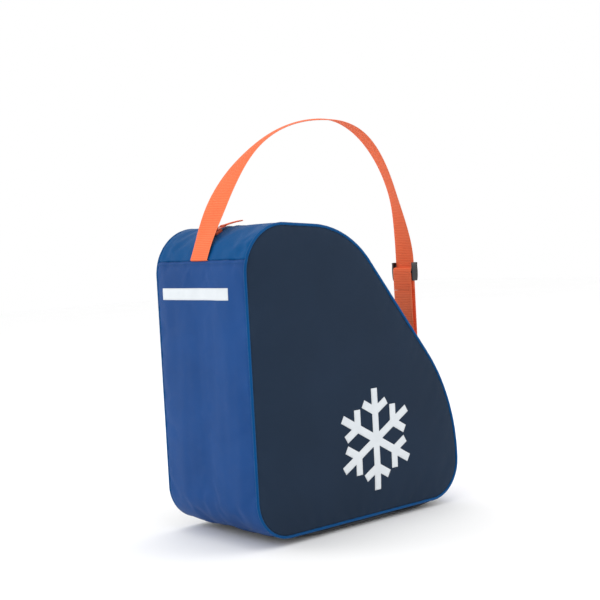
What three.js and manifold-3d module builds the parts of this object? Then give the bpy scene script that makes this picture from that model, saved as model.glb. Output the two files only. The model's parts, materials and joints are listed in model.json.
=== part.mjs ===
// A ski boot bag: two wedge-shaped side panels joined by a gusset that a zip opens over the top, with a shoulder strap.
// Millimetres. +X points to the toe end, +Y to the bag's left, +Z up. The origin is under the middle of the bag.
import * as THREE from "three";
import { mergeVertices } from "three/addons/utils/BufferGeometryUtils.js";
import Module from "manifold-3d";

const wasm = await Module();
wasm.setup();

// ---- Driving dimensions ------------------------------------------------------------------------------------------
const BAG_LENGTH = 375; // heel edge to toe edge, piping line to piping line
const BAG_HEIGHT = 415; // sole line to the heel's top corner before it is rounded
const BAG_WIDTH = 200; // right piping line to left piping line
const TOE_HEIGHT = 144; // where the slope would meet the toe edge
const SHOULDER_SETBACK = 181; // heel edge to the corner between top and slope
const SHOULDER_DROP = 14; // that corner lies this far below the heel's top corner
const HEEL_SOLE_RADIUS = 52;
const TOE_SOLE_RADIUS = 54;
const TOE_TOP_RADIUS = 265;
const SHOULDER_RADIUS = 137;
const HEEL_TOP_RADIUS = 64;
const SOLE_SAG = 11; // the sole bows this far below its piping
const SOLE_FLAT_START = 128; // heel edge to the flat middle of the sole
const SOLE_FLAT_END = 95; // toe edge to the flat

const FABRIC = 2; // coated polyester with its foam and lining
const GAP = 0.3; // between pieces that touch
const PIPING_RADIUS = 2.75;
const PIPING_SKIN = 0.75;
const PIPING_SLIT = 60; // degrees of the piping cover left open, towards the seam
const BINDING_WIDTH = 8; // the tape that binds the seams inside
const BINDING_THICKNESS = 2;
const CROSS_BINDING_INSET = 4; // a cross binding stops this far from the long bindings
const BOARD_THICKNESS = 3;
const BOARD_CLEARANCE = 3;
const BOARD_REACH = 125; // from the middle of the sole's flat to each end of the board

// Where the gusset's panels meet: the direction that the outline faces there, in degrees above +X.
const FRONT_SEAM = 16;
const HEEL_TOP_SEAM = 161.4;
const HEEL_SOLE_SEAM = 264;
const TOE_SOLE_SEAM = -55;

const ZIP_OPENING = 14; // between the gusset halves
const TAPE_WIDTH = 16;
const TAPE_THICKNESS = 1.2;
const COIL_WIDTH = 2.8;
const COIL_THICKNESS = 2.2;
const STOP_LENGTH = 4;
const STOP_HEIGHT = 1;
const STOP_SPACE = 3; // between the closed slider and the heel stop
const ZIP_END_SPACE = 1; // between the zip and the bindings it runs up to
const SLIDER_LENGTH = 12;
const SLIDER_WIDTH = 11;
const SLIDER_PLATE = 1.4;
const SLIDER_PLACE = 118; // the rest place on the heel's top bend, as the seams are given
const BRIDGE_LENGTH = 8;
const BRIDGE_WIDTH = 3.6;
const BRIDGE_HOLE = 2.8;
const BRIDGE_ROD = 1.2;
const TAB_LENGTH = 14;
const TAB_WIDTH = 11;
const TAB_THICKNESS = 1.4;
const TAB_ROD = 1.6;
const TAB_EYE = 4; // the hole the slider's bridge goes through, along the tab
const TAB_SLOT = 3; // the slot the ribbon goes through
const PULL_WIDTH = 8;
const PULL_LENGTH = 33;
const PULL_THICKNESS = 0.8;
const PULL_LIFT = 1; // degrees off the zip at rest

const WEBBING_WIDTH = 38;
const WEBBING = 1.6;
const STRAP_RISE = 143.5; // the arch's highest point above the heel's top corner
const STRAP_APEX = 242; // heel edge to the arch's highest point
const STRAP_LEAN = 68; // degrees at which the strap leaves the heel seam
const STRAP_FULLNESS = [82, 152, 122, 48]; // how far each end of the two curves pulls them out
const STRAP_TWIST = 36; // degrees that the front of the arch turns about its own line
const SEWN_END = 46; // of the strap, from the heel seam to where it bends when it falls aside
const RUN_REACH = 22.5; // from the front seam forward to the straight run of the strap
const RUN_TOP = 213; // from the front seam up to the top of the straight run
const RING_REACH = 14; // from the front seam forward to the ring's lower bar
const RING_RISE = 18; // and up to it
const RING_PITCH = 16; // between the ring's two bars
const RING_BAR = 3.6;
const TAB_ROOT = 4; // the ring's tab starts this far off the front seam
const ADJUSTER_RISE = 199; // from the front seam up to the middle of the adjuster
const ADJUSTER_HEIGHT = 28;
const ADJUSTER_BAR = 4;
const ADJUSTER_DEPTH = 3;
const FOLD_LENGTH = 28; // of webbing sewn back round the adjuster's middle bar

const SIDE_PRINT_SIZE = 142;
const PRINT_THICKNESS = 0.4;
const SIDE_PRINT_REACH = 208; // heel edge to the crystal's middle
const SIDE_PRINT_RISE = 106; // sole line to it
const ARM_WIDTH = 0.08; // of the crystal's size
const BRANCH_LENGTH = 0.36; // of an arm
const BRANCH_PLACE = 0.55; // of an arm, from the middle
const BRANCH_ANGLE = 60;
const BACK_PRINT_WIDTH = 150;
const BACK_PRINT_HEIGHT = 16;
const BACK_PRINT_DROP = 36; // from the heel's top seam
const BACK_PRINT_SHIFT = 7; // to the left of the back's middle

// ---- Finishes ----------------------------------------------------------------------------------------------------
const finish = (color, roughness, metalness = 0) =>
  new THREE.MeshStandardMaterial({ color, roughness, metalness });
const NAVY = finish(0x26323f, 0.75);
const ROYAL = finish(0x2e5083, 0.7);
const TEAL = finish(0x145a8e, 0.7);
const PIPING = finish(0x12476e, 0.55);
const BLACK_FABRIC = finish(0x1a1b1e, 0.85);
const ORANGE = finish(0xf58560, 0.7);
const BLACK_PLASTIC = finish(0x17181a, 0.45);
const BOARD = finish(0x303236, 0.8);
const TAPE = finish(0x12507f, 0.8);
const COIL = finish(0x0f3c61, 0.5);
const METAL = finish(0xd0573a, 0.4, 0.3);
const WHITE_FILM = finish(0xe4e6e8, 0.5);

// ---- The side outline --------------------------------------------------------------------------------------------
// Points are (x, height). The outline runs anticlockwise, and each corner is an arc that starts and ends in the
// directions that its two sides face.
const HEEL_X = -BAG_LENGTH / 2;
const TOE_X = BAG_LENGTH / 2;
const SIDE_Y = BAG_WIDTH / 2;
const FULL_TURN = 360;
const rad = THREE.MathUtils.degToRad;
const deg = THREE.MathUtils.radToDeg;
const facing = (degrees) => new THREE.Vector2(Math.cos(rad(degrees)), Math.sin(rad(degrees)));

const SHOULDER = new THREE.Vector2(HEEL_X + SHOULDER_SETBACK, BAG_HEIGHT - SHOULDER_DROP);
const TOE_LEAN = 2; // the toe edge leans forward by this much

// A bend takes at most its share of the shorter side that meets it.
const CORNERS = [
  { at: new THREE.Vector2(TOE_X, 0), radius: TOE_SOLE_RADIUS, share: 0.374 },
  { at: new THREE.Vector2(TOE_X + TOE_LEAN, TOE_HEIGHT), radius: TOE_TOP_RADIUS, share: 0.62 },
  { at: SHOULDER, radius: SHOULDER_RADIUS, share: 0.5 },
  { at: new THREE.Vector2(HEEL_X, BAG_HEIGHT), radius: HEEL_TOP_RADIUS, share: 0.48 },
  { at: new THREE.Vector2(HEEL_X, 0), radius: HEEL_SOLE_RADIUS, share: 0.3 },
];

// The direction, in degrees, that the side from one corner to the next faces, rising from -90 round the outline.
function sideFacing(from, to) {
  const along = to.clone().sub(from);
  const degrees = deg(Math.atan2(-along.x, along.y));
  return degrees < -90.01 ? degrees + FULL_TURN : degrees;
}

function cornerArc({ at, radius: wanted, share }, index) {
  const before = CORNERS[(index + CORNERS.length - 1) % CORNERS.length].at;
  const after = CORNERS[(index + 1) % CORNERS.length].at;
  const start = sideFacing(before, at);
  const end = index === CORNERS.length - 1 ? start + 90 : sideFacing(at, after);
  const half = rad((end - start) / 2);
  const room = share * Math.min(at.distanceTo(before), at.distanceTo(after));
  const radius = Math.min(wanted, room / Math.tan(half));
  const toCentre = facing((start + end) / 2).multiplyScalar(-radius / Math.cos(half));
  return { centre: at.clone().add(toCentre), radius, start, end };
}

const ARCS = CORNERS.map(cornerArc);
const FACET_SAG = 0.35; // how far a facet may cut inside a bend

// A bend is drawn as facets, and every piece that follows it uses the same ones, so that gaps stay even.
function facetsOf(arc) {
  const most = deg(2 * Math.acos(1 - FACET_SAG / arc.radius));
  const count = Math.ceil((arc.end - arc.start) / most);
  return { count, step: (arc.end - arc.start) / count };
}

const arcPoint = (arc, turn, offset) => facing(turn).multiplyScalar(arc.radius + offset).add(arc.centre);

// The point of a bend's facets at a facing, moved outwards by offset.
function facetPoint(arc, turn, offset) {
  const { count, step } = facetsOf(arc);
  const index = Math.min(Math.floor((turn - arc.start) / step), count - 1);
  const from = arc.start + index * step;
  return arcPoint(arc, from, offset).lerp(arcPoint(arc, from + step, offset), (turn - from) / step);
}

// The outline's points from one facing to another, moved outwards by offset.
function outline(from, to, offset) {
  const points = [];
  for (const arc of ARCS) {
    const low = Math.max(from, arc.start);
    const high = Math.min(to, arc.end);
    if (high < low) continue;
    const { count, step } = facetsOf(arc);
    const turns = Array.from({ length: count + 1 }, (_, i) => arc.start + i * step);
    const inside = turns.filter((turn) => turn > low + 0.01 && turn < high - 0.01);
    for (const turn of [low, ...inside, high]) points.push(facetPoint(arc, turn, offset));
  }
  return points;
}

const arcAt = (turn) => ARCS.find((arc) => turn >= arc.start && turn <= arc.end);
const outlinePoint = (turn, offset = 0) => facetPoint(arcAt(turn), turn, offset);
const turnFor = (length, turn) => deg(length / arcAt(turn).radius); // the turn that a length along the outline makes
const fullOutline = (offset) => outline(-90, FULL_TURN - 90, offset);

// ---- Shape helpers -----------------------------------------------------------------------------------------------
const parts = new THREE.Group();

function add(name, geometry, material, parent = parts) {
  const mesh = new THREE.Mesh(geometry, material);
  mesh.name = name;
  parent.add(mesh);
  return mesh;
}

// An outline in the X-Z plane, given depth along Y from y0 to y1.
function slab(points, y0, y1, holes = []) {
  const shape = new THREE.Shape(points);
  shape.holes = holes.map((hole) => new THREE.Path(hole));
  const geometry = new THREE.ExtrudeGeometry(shape, { depth: y1 - y0, bevelEnabled: false });
  return geometry.rotateX(Math.PI / 2).translate(0, y1, 0);
}

// A band of the gusset between two facings, from the inner offset to the outer one.
function band(from, to, inner, outer, y0, y1) {
  return slab([...outline(from, to, outer), ...outline(from, to, inner).reverse()], y0, y1);
}

function solid(geometry) {
  const bare = geometry.index ? geometry.toNonIndexed() : geometry.clone();
  bare.deleteAttribute("normal");
  bare.deleteAttribute("uv");
  const merged = mergeVertices(bare, 1e-3);
  const mesh = new wasm.Mesh({
    numProp: 3,
    vertProperties: merged.attributes.position.array,
    triVerts: new Uint32Array(merged.index.array),
  });
  return new wasm.Manifold(mesh);
}

function joined(...geometries) {
  const whole = geometries.map(solid).reduce((sum, next) => sum.add(next));
  const { vertProperties, triVerts } = whole.getMesh();
  const geometry = new THREE.BufferGeometry();
  geometry.setAttribute("position", new THREE.BufferAttribute(vertProperties, 3));
  geometry.setIndex(new THREE.BufferAttribute(triVerts, 1));
  geometry.computeVertexNormals();
  return geometry;
}

function block(x0, x1, y0, y1, z0, z1) {
  const geometry = new THREE.BoxGeometry(x1 - x0, y1 - y0, z1 - z0);
  return geometry.translate((x0 + x1) / 2, (y0 + y1) / 2, (z0 + z1) / 2);
}

// A flat ribbon along stations in the X-Z plane. Each station has its point, the way the ribbon runs there,
// and how far it is turned about its own line, in degrees.
function ribbon(stations, width, thickness) {
  const last = stations.length - 1;
  const geometry = new THREE.BoxGeometry(1, 1, 1, 1, 1, last);
  const position = geometry.attributes.position;
  for (let i = 0; i < position.count; i += 1) {
    const station = stations[Math.round((position.getZ(i) + 0.5) * last)];
    const turn = rad(station.turned ?? 0);
    const across = position.getX(i) * width;
    const out = position.getY(i) * thickness;
    const normal = new THREE.Vector2(-station.run.y, station.run.x);
    const rise = out * Math.cos(turn) + across * Math.sin(turn);
    const y = across * Math.cos(turn) - out * Math.sin(turn);
    position.setXYZ(i, station.point.x + normal.x * rise, y, station.point.y + normal.y * rise);
  }
  geometry.computeVertexNormals();
  return geometry;
}

// Stations spaced evenly along a curve, moved to its left by offset.
function stationsAlong(curve, count, offset = 0, turnedAt = () => 0) {
  return Array.from({ length: count + 1 }, (_, i) => {
    const run = curve.getTangentAt(i / count);
    const side = new THREE.Vector2(-run.y, run.x).multiplyScalar(offset);
    return { point: curve.getPointAt(i / count).add(side), run, turned: turnedAt(i / count) };
  });
}

// ---- The shell of the bag ----------------------------------------------------------------------------------------
const WALL_OUT = FABRIC / 2;
const PANEL_EDGE = PIPING_RADIUS + GAP; // the panels stop this far from the piping's line
const GUSSET_Y = SIDE_Y - PANEL_EDGE;
const SEAM_GAP = GAP / 2;
const halfSeam = (turn) => turnFor(SEAM_GAP, turn);
const SIDES = [
  { side: "right", sign: -1 },
  { side: "left", sign: 1 },
];

// A slab on the bag's right, or its mirror image on the left.
const sided = (sign, near, far) => (sign < 0 ? [-far, -near] : [near, far]);

function addSidePanels() {
  for (const { side, sign } of SIDES) {
    const [y0, y1] = sided(sign, SIDE_Y - WALL_OUT, SIDE_Y + WALL_OUT);
    add(`side_panel_${side}`, slab(fullOutline(-PANEL_EDGE), y0, y1), NAVY);
  }
}

function addGussetPanels() {
  const wall = (from, to, y0, y1) =>
    band(from + halfSeam(from), to - halfSeam(to), -WALL_OUT, WALL_OUT, y0, y1);
  add("back_panel", wall(HEEL_TOP_SEAM, HEEL_SOLE_SEAM, -GUSSET_Y, GUSSET_Y), ROYAL);
  add("front_panel", wall(TOE_SOLE_SEAM, FRONT_SEAM, -GUSSET_Y, GUSSET_Y), ROYAL);
  for (const { side, sign } of SIDES) {
    const [y0, y1] = sided(sign, ZIP_OPENING / 2, GUSSET_Y);
    add(`top_gusset_${side}`, wall(FRONT_SEAM, HEEL_TOP_SEAM, y0, y1), TEAL);
  }
}

// The sole hangs below its piping in a shallow bow with a flat middle.
const SOLE_FLAT_HEEL = HEEL_X + SOLE_FLAT_START;
const SOLE_FLAT_TOE = TOE_X - SOLE_FLAT_END;

const SOLE_FACETS = 6; // along each bowed end

function soleLine(offset) {
  const heel = outlinePoint(HEEL_SOLE_SEAM, offset);
  const toe = outlinePoint(TOE_SOLE_SEAM, offset);
  const z = -SOLE_SAG + WALL_OUT - offset;
  const line = new THREE.Path();
  line.moveTo(heel.x, heel.y);
  line.quadraticCurveTo((heel.x + SOLE_FLAT_HEEL) / 2, z, SOLE_FLAT_HEEL, z);
  line.lineTo(SOLE_FLAT_TOE, z);
  line.quadraticCurveTo(toe.x - (toe.y - z) / Math.tan(rad(TOE_SOLE_SEAM + 90)), z, toe.x, toe.y);
  return line.getPoints(SOLE_FACETS);
}

function addSole() {
  const outer = soleLine(WALL_OUT);
  const inner = soleLine(-WALL_OUT).reverse();
  const floor = slab([...outer, ...inner], -GUSSET_Y, GUSSET_Y);
  const seamLine = [
    ...outline(-90, TOE_SOLE_SEAM, -WALL_OUT).reverse(),
    ...outline(HEEL_SOLE_SEAM, FULL_TURN - 90, -WALL_OUT).reverse(),
  ];
  const lip = (y0, y1) => slab([...outer, ...seamLine], y0, y1);
  const lips = SIDES.map(({ sign }) => lip(...sided(sign, GUSSET_Y - FABRIC, GUSSET_Y)));
  add("bottom_panel", joined(floor, ...lips), BLACK_FABRIC);
}

// The board that keeps the sole in shape follows its bow.
function addBaseBoard() {
  const middle = (SOLE_FLAT_HEEL + SOLE_FLAT_TOE) / 2;
  const under = soleLine(WALL_OUT).filter((point) => Math.abs(point.x - middle) < BOARD_REACH);
  const lifted = (lift) => under.map((point) => new THREE.Vector2(point.x, point.y + lift));
  const low = FABRIC + 2 * GAP;
  const half = GUSSET_Y - FABRIC - BOARD_CLEARANCE;
  const shape = [...lifted(low), ...lifted(low + BOARD_THICKNESS).reverse()];
  add("base_board", slab(shape, -half, half), BOARD);
}

// ---- Piping and inner bindings -----------------------------------------------------------------------------------
// The piping's line starts and ends under the middle of the sole, where its two ends meet.
function pipingRing() {
  const start = new THREE.Vector2(SEAM_GAP, 0);
  const end = new THREE.Vector2(-SEAM_GAP, 0);
  return [start, ...fullOutline(0), end];
}

// A tube section swept along the piping line by moving each of its points out from the outline.
function sweptRing(section, y, sign) {
  const ring = pipingRing();
  const last = ring.length - 1;
  const shape = new THREE.Shape(section);
  const geometry = new THREE.ExtrudeGeometry(shape, { depth: 1, steps: last, bevelEnabled: false });
  const outwards = ring.map((_, i) => ringNormal(ring, i));
  const position = geometry.attributes.position;
  for (let i = 0; i < position.count; i += 1) {
    const station = Math.round(position.getZ(i) * last);
    const out = outwards[station].clone().multiplyScalar(position.getX(i));
    const point = ring[station].clone().add(out);
    position.setXYZ(i, point.x, y + sign * position.getY(i), point.y);
  }
  return sign > 0 ? geometry : flipped(geometry);
}

// The outward direction at a point of the piping's ring, half way between its two sides'.
function ringNormal(ring, i) {
  const before = ring[Math.max(i - 1, 0)];
  const after = ring[Math.min(i + 1, ring.length - 1)];
  const sides = [ring[i].clone().sub(before), after.clone().sub(ring[i])].filter((side) => side.lengthSq() > 0);
  const [a, b] = sides.length > 1 ? sides : [sides[0], sides[0]];
  const normalA = new THREE.Vector2(a.y, -a.x).normalize();
  const normalB = new THREE.Vector2(b.y, -b.x).normalize();
  const middle = normalA.clone().add(normalB).normalize();
  return middle.divideScalar(middle.dot(normalA));
}

function flipped(geometry) {
  const position = geometry.attributes.position;
  for (let i = 0; i < position.count; i += 3) {
    const [x, y, z] = [position.getX(i), position.getY(i), position.getZ(i)];
    position.setXYZ(i, position.getX(i + 1), position.getY(i + 1), position.getZ(i + 1));
    position.setXYZ(i + 1, x, y, z);
  }
  return geometry;
}

const circle = (radius, from, to, count) =>
  Array.from({ length: count + 1 }, (_, i) => facing(from + ((to - from) * i) / count).multiplyScalar(radius));

function addPiping() {
  const inwards = 225; // the slit faces the seam, half way between side panel and gusset
  const from = inwards + PIPING_SLIT / 2;
  const to = inwards + FULL_TURN - PIPING_SLIT / 2;
  const inner = PIPING_RADIUS - PIPING_SKIN;
  const cover = [...circle(PIPING_RADIUS, from, to, 8), ...circle(inner, from, to, 8).reverse()];
  const core = circle(inner - GAP, 0, FULL_TURN - 60, 5);
  for (const { side, sign } of SIDES) {
    add(`piping_cover_${side}`, sweptRing(cover, sign * SIDE_Y, sign), PIPING);
    add(`piping_cord_${side}`, sweptRing(core, sign * SIDE_Y, sign), WHITE_FILM);
  }
}

function addSeamBindings() {
  const outer = -PANEL_EDGE;
  const far = SIDE_Y - WALL_OUT - GAP;
  for (const { side, sign } of SIDES) {
    const [y0, y1] = sided(sign, far - BINDING_THICKNESS, far);
    const ring = slab(fullOutline(outer), y0, y1, [fullOutline(outer - BINDING_WIDTH)]);
    add(`seam_binding_${side}`, ring, BLACK_FABRIC);
  }
}

const CROSS_SEAMS = {
  heel_top: HEEL_TOP_SEAM,
  heel_sole: HEEL_SOLE_SEAM,
  toe_sole: TOE_SOLE_SEAM,
  front: FRONT_SEAM,
};
const halfBinding = (turn) => turnFor(BINDING_WIDTH / 2, turn);

function addCrossBindings() {
  const half = SIDE_Y - WALL_OUT - GAP - BINDING_THICKNESS - CROSS_BINDING_INSET;
  const outer = -WALL_OUT - GAP;
  for (const [name, turn] of Object.entries(CROSS_SEAMS)) {
    const reach = halfBinding(turn);
    const strip = band(turn - reach, turn + reach, outer - BINDING_THICKNESS, outer, -half, half);
    add(`${name}_seam_binding`, strip, BLACK_FABRIC);
  }
}

// ---- The zip -----------------------------------------------------------------------------------------------------
const TAPE_OUT = -WALL_OUT - GAP; // the tape's outer face, under the gusset
const COIL_IN = TAPE_OUT + GAP;
const COIL_OUT = COIL_IN + COIL_THICKNESS;
const ZIP_FRONT = FRONT_SEAM + halfBinding(FRONT_SEAM) + turnFor(ZIP_END_SPACE, FRONT_SEAM);
const ZIP_HEEL = HEEL_TOP_SEAM - halfBinding(HEEL_TOP_SEAM) - turnFor(ZIP_END_SPACE, HEEL_TOP_SEAM);
const stopTurn = (turn) => turnFor(STOP_LENGTH, turn);
const COIL_HEEL = SLIDER_PLACE + turnFor(SLIDER_LENGTH / 2 + STOP_SPACE, SLIDER_PLACE);

function addZip() {
  const coilFront = ZIP_FRONT + stopTurn(ZIP_FRONT);
  for (const { side, sign } of SIDES) {
    const tape = sided(sign, GAP / 2, TAPE_WIDTH);
    const coil = sided(sign, GAP / 2, COIL_WIDTH);
    add(`zipper_tape_${side}`, band(ZIP_FRONT, ZIP_HEEL, TAPE_OUT - TAPE_THICKNESS, TAPE_OUT, ...tape), TAPE);
    add(`zipper_coil_${side}`, band(coilFront, COIL_HEEL, COIL_IN, COIL_OUT, ...coil), COIL);
  }
  const stop = (from, to) => band(from, to, COIL_IN, COIL_OUT + STOP_HEIGHT, -COIL_WIDTH, COIL_WIDTH);
  const stopGap = turnFor(ZIP_END_SPACE, SLIDER_PLACE);
  add("zipper_front_stop", stop(ZIP_FRONT, coilFront - turnFor(GAP, ZIP_FRONT)), METAL);
  add("zipper_heel_stop", stop(COIL_HEEL + stopGap, COIL_HEEL + stopGap + stopTurn(COIL_HEEL)), METAL);
}

// The slider's own frame: X forward along the zip, Z out of the bag, zero on the outline.
const PLATE_LOW = COIL_OUT + GAP + 0.1;
const PLATE_TOP = PLATE_LOW + SLIDER_PLATE;
const PIVOT_RISE = PLATE_TOP + 0.2 + BRIDGE_HOLE / 2;

function addSlider(group) {
  const half = SLIDER_LENGTH / 2;
  const flangeIn = COIL_WIDTH + 2 * GAP;
  const flangeLow = TAPE_OUT + 2 * GAP;
  const plate = block(-half, half, -SLIDER_WIDTH / 2, SLIDER_WIDTH / 2, PLATE_LOW, PLATE_TOP);
  const flanges = SIDES.map(({ sign }) =>
    block(-half, half, ...sided(sign, flangeIn, SLIDER_WIDTH / 2), flangeLow, PLATE_TOP));
  const top = PIVOT_RISE + BRIDGE_HOLE / 2 + BRIDGE_ROD;
  const posts = [-1, 1].map((end) => {
    const [x0, x1] = sided(end, BRIDGE_LENGTH / 2 - BRIDGE_ROD, BRIDGE_LENGTH / 2);
    return block(x0, x1, -BRIDGE_WIDTH / 2, BRIDGE_WIDTH / 2, PLATE_LOW, top);
  });
  const rod = block(
    -BRIDGE_LENGTH / 2, BRIDGE_LENGTH / 2, -BRIDGE_WIDTH / 2, BRIDGE_WIDTH / 2, top - BRIDGE_ROD, top);
  add("zipper_slider", joined(plate, ...flanges, ...posts, rod), METAL, group);
}

// The pull's own frame: X along the pull from its pivot, Z its thickness.
function rectangle(x0, x1, half) {
  return [[x0, -half], [x1, -half], [x1, half], [x0, half]].map(([x, y]) => new THREE.Vector2(x, y));
}

function addPull(group) {
  const near = -TAB_ROD / 2;
  const far = near + TAB_LENGTH;
  const eyeWidth = BRIDGE_WIDTH / 2 + 2 * GAP;
  const slotWidth = PULL_WIDTH / 2 + GAP;
  const eye = rectangle(TAB_ROD / 2, TAB_ROD / 2 + TAB_EYE, eyeWidth);
  const slotEnd = far - TAB_ROD;
  const slot = rectangle(slotEnd - TAB_SLOT, slotEnd, slotWidth);
  const shape = new THREE.Shape(rectangle(near, far, TAB_WIDTH / 2));
  shape.holes = [eye, slot].map((hole) => new THREE.Path(hole.reverse()));
  const tab = new THREE.ExtrudeGeometry(shape, { depth: TAB_THICKNESS, bevelEnabled: false });
  add("zipper_pull_tab", tab.translate(0, 0, -TAB_THICKNESS / 2), METAL, group);

  const bend = TAB_THICKNESS / 2 + 2 * GAP + PULL_THICKNESS / 2;
  const barX = slotEnd + TAB_ROD / 2;
  const loop = new THREE.Path();
  loop.moveTo(barX + PULL_LENGTH, -bend);
  loop.lineTo(barX, -bend);
  loop.absarc(barX, 0, bend, -Math.PI / 2, Math.PI / 2, true);
  loop.lineTo(barX + PULL_LENGTH, bend);
  add("zipper_pull_ribbon", ribbon(stationsAlong(loop, 40), PULL_WIDTH, PULL_THICKNESS), ORANGE, group);
}

function addSliderAndPull() {
  const slider = new THREE.Group();
  const place = outlinePoint(SLIDER_PLACE);
  slider.position.set(place.x, 0, place.y);
  slider.rotation.y = rad(90 - SLIDER_PLACE);
  addSlider(slider);
  const pull = new THREE.Group();
  pull.position.z = PIVOT_RISE;
  pull.rotation.y = -rad(PULL_LIFT);
  addPull(pull);
  slider.add(pull);
  parts.add(slider);
}

// ---- The shoulder strap ------------------------------------------------------------------------------------------
// The strap leaves the heel seam, arches over the bag and comes down in a straight run in front of the slope.
// There it goes through the adjuster, round the ring's upper bar and back up to the adjuster's middle bar.
const frontSeam = outlinePoint(FRONT_SEAM, WALL_OUT);
const RUN_X = frontSeam.x + RUN_REACH;
const SKIM = WALL_OUT + 2 * GAP + WEBBING / 2; // from the outline to webbing that lies on the gusset
const bendRadius = RING_BAR / Math.SQRT2 + GAP + WEBBING / 2;
const ringLower = frontSeam.clone().add(new THREE.Vector2(RING_REACH, RING_RISE));
const ringUpper = new THREE.Vector2(RUN_X - bendRadius, ringLower.y + RING_PITCH);

function archCurve() {
  const [a, b, c, d] = STRAP_FULLNESS;
  const heel = outlinePoint(HEEL_TOP_SEAM, SKIM);
  const lean = facing(STRAP_LEAN).multiplyScalar(a);
  const apex = new THREE.Vector2(HEEL_X + STRAP_APEX, BAG_HEIGHT + STRAP_RISE);
  const foot = new THREE.Vector2(RUN_X, frontSeam.y + RUN_TOP);
  const arch = new THREE.Path();
  arch.moveTo(heel.x, heel.y);
  arch.bezierCurveTo(heel.x + lean.x, heel.y + lean.y, apex.x - b, apex.y, apex.x, apex.y);
  arch.bezierCurveTo(apex.x + c, apex.y, foot.x, foot.y + d, foot.x, foot.y);
  return arch;
}

const arch = archCurve();
const archLength = arch.getLength();

// The arch turns about its own line on its way down the front: nothing up to TWIST_START, most at TWIST_PEAK.
const TWIST_START = 0.35;
const TWIST_PEAK = 0.78;
function twistAt(share) {
  const rise = THREE.MathUtils.smoothstep(share, TWIST_START, TWIST_PEAK);
  const fall = THREE.MathUtils.smoothstep(share, TWIST_PEAK, 1);
  return STRAP_TWIST * (rise - fall);
}

const share = (length) => length / archLength;

function addStrapWebbing() {
  const sewnCount = 6;
  const sewn = Array.from({ length: sewnCount + 1 }, (_, i) => share((SEWN_END * i) / sewnCount));
  const station = (at) => ({ point: arch.getPointAt(at), run: arch.getTangentAt(at), turned: twistAt(at) });
  add("strap_heel_end", ribbon(sewn.map(station), WEBBING_WIDTH, WEBBING), ORANGE);

  const archCount = 44;
  const start = share(SEWN_END + GAP);
  const arched = Array.from({ length: archCount + 1 }, (_, i) => station(start + ((1 - start) * i) / archCount));
  const down = new THREE.LineCurve(new THREE.Vector2(RUN_X, frontSeam.y + RUN_TOP), ringUpper.clone().setX(RUN_X));
  const turn = new THREE.EllipseCurve(
    ringUpper.x, ringUpper.y, bendRadius, bendRadius, 0, -Math.PI, true);
  const run = [...stationsAlong(down, 4).slice(1), ...stationsAlong(turn, 8).slice(1)];
  add("shoulder_strap", ribbon([...arched, ...run], WEBBING_WIDTH, WEBBING), ORANGE);

  const returnX = RUN_X - 2 * bendRadius;
  const low = new THREE.Vector2(returnX, ringUpper.y + GAP);
  const high = new THREE.Vector2(returnX, frontSeam.y + ADJUSTER_RISE - FOLD_LENGTH - GAP);
  add("strap_return", ribbon(stationsAlong(new THREE.LineCurve(low, high), 4), WEBBING_WIDTH, WEBBING), ORANGE);
}

// The adjuster's own frame: X out from the strap's run, Z along it. Its middle bar lies between the two layers.
function addAdjuster() {
  const group = new THREE.Group();
  group.position.set(RUN_X, 0, frontSeam.y + ADJUSTER_RISE);
  const halfHeight = ADJUSTER_HEIGHT / 2;
  const slotHalf = WEBBING_WIDTH / 2 + 2 * GAP;
  const railOut = slotHalf + ADJUSTER_BAR - 1;
  const front = WEBBING / 2 + GAP;
  const foldFront = -WEBBING - GAP;
  const foldBack = -2 * bendRadius;
  const middle = (foldFront + foldBack) / 2;
  const foldHalf = (foldFront - foldBack) / 2;
  const barHalf = foldHalf - WEBBING / 2 - GAP;
  const bars = [-1, 1].map((end) => {
    const [z0, z1] = sided(end, halfHeight - ADJUSTER_BAR, halfHeight);
    return block(front, front + ADJUSTER_DEPTH, -railOut, railOut, z0, z1);
  });
  const middleBar = block(middle - barHalf, middle + barHalf, -railOut, railOut, -barHalf, barHalf);
  const rails = SIDES.map(({ sign }) =>
    block(middle - barHalf, front + ADJUSTER_DEPTH, ...sided(sign, slotHalf, railOut), -halfHeight, halfHeight));
  add("strap_adjuster", joined(...bars, middleBar, ...rails), BLACK_PLASTIC, group);

  const loop = new THREE.Path();
  loop.moveTo(foldBack, -FOLD_LENGTH);
  loop.lineTo(foldBack, 0);
  loop.absellipse(middle, 0, foldHalf, foldHalf + 2 * WEBBING, Math.PI, 0, true);
  loop.lineTo(foldFront, -FOLD_LENGTH);
  add("strap_adjuster_fold", ribbon(stationsAlong(loop, 30), WEBBING_WIDTH, WEBBING), ORANGE, group);
  parts.add(group);
}

function addRing() {
  const along = ringUpper.clone().sub(ringLower);
  const pitch = along.length();
  const half = RING_BAR / 2;
  const slotHalf = WEBBING_WIDTH / 2 + 2 * GAP;
  const frame = new THREE.Shape(rectangle(-half, pitch + half, slotHalf + RING_BAR));
  frame.holes = [new THREE.Path(rectangle(half, pitch - half, slotHalf).reverse())];
  const geometry = new THREE.ExtrudeGeometry(frame, { depth: RING_BAR, bevelEnabled: false });
  geometry.translate(0, 0, -half);
  const ring = add("strap_ring", geometry, BLACK_PLASTIC);
  ring.position.set(ringLower.x, 0, ringLower.y);
  ring.rotation.y = -along.angle();
}

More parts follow.
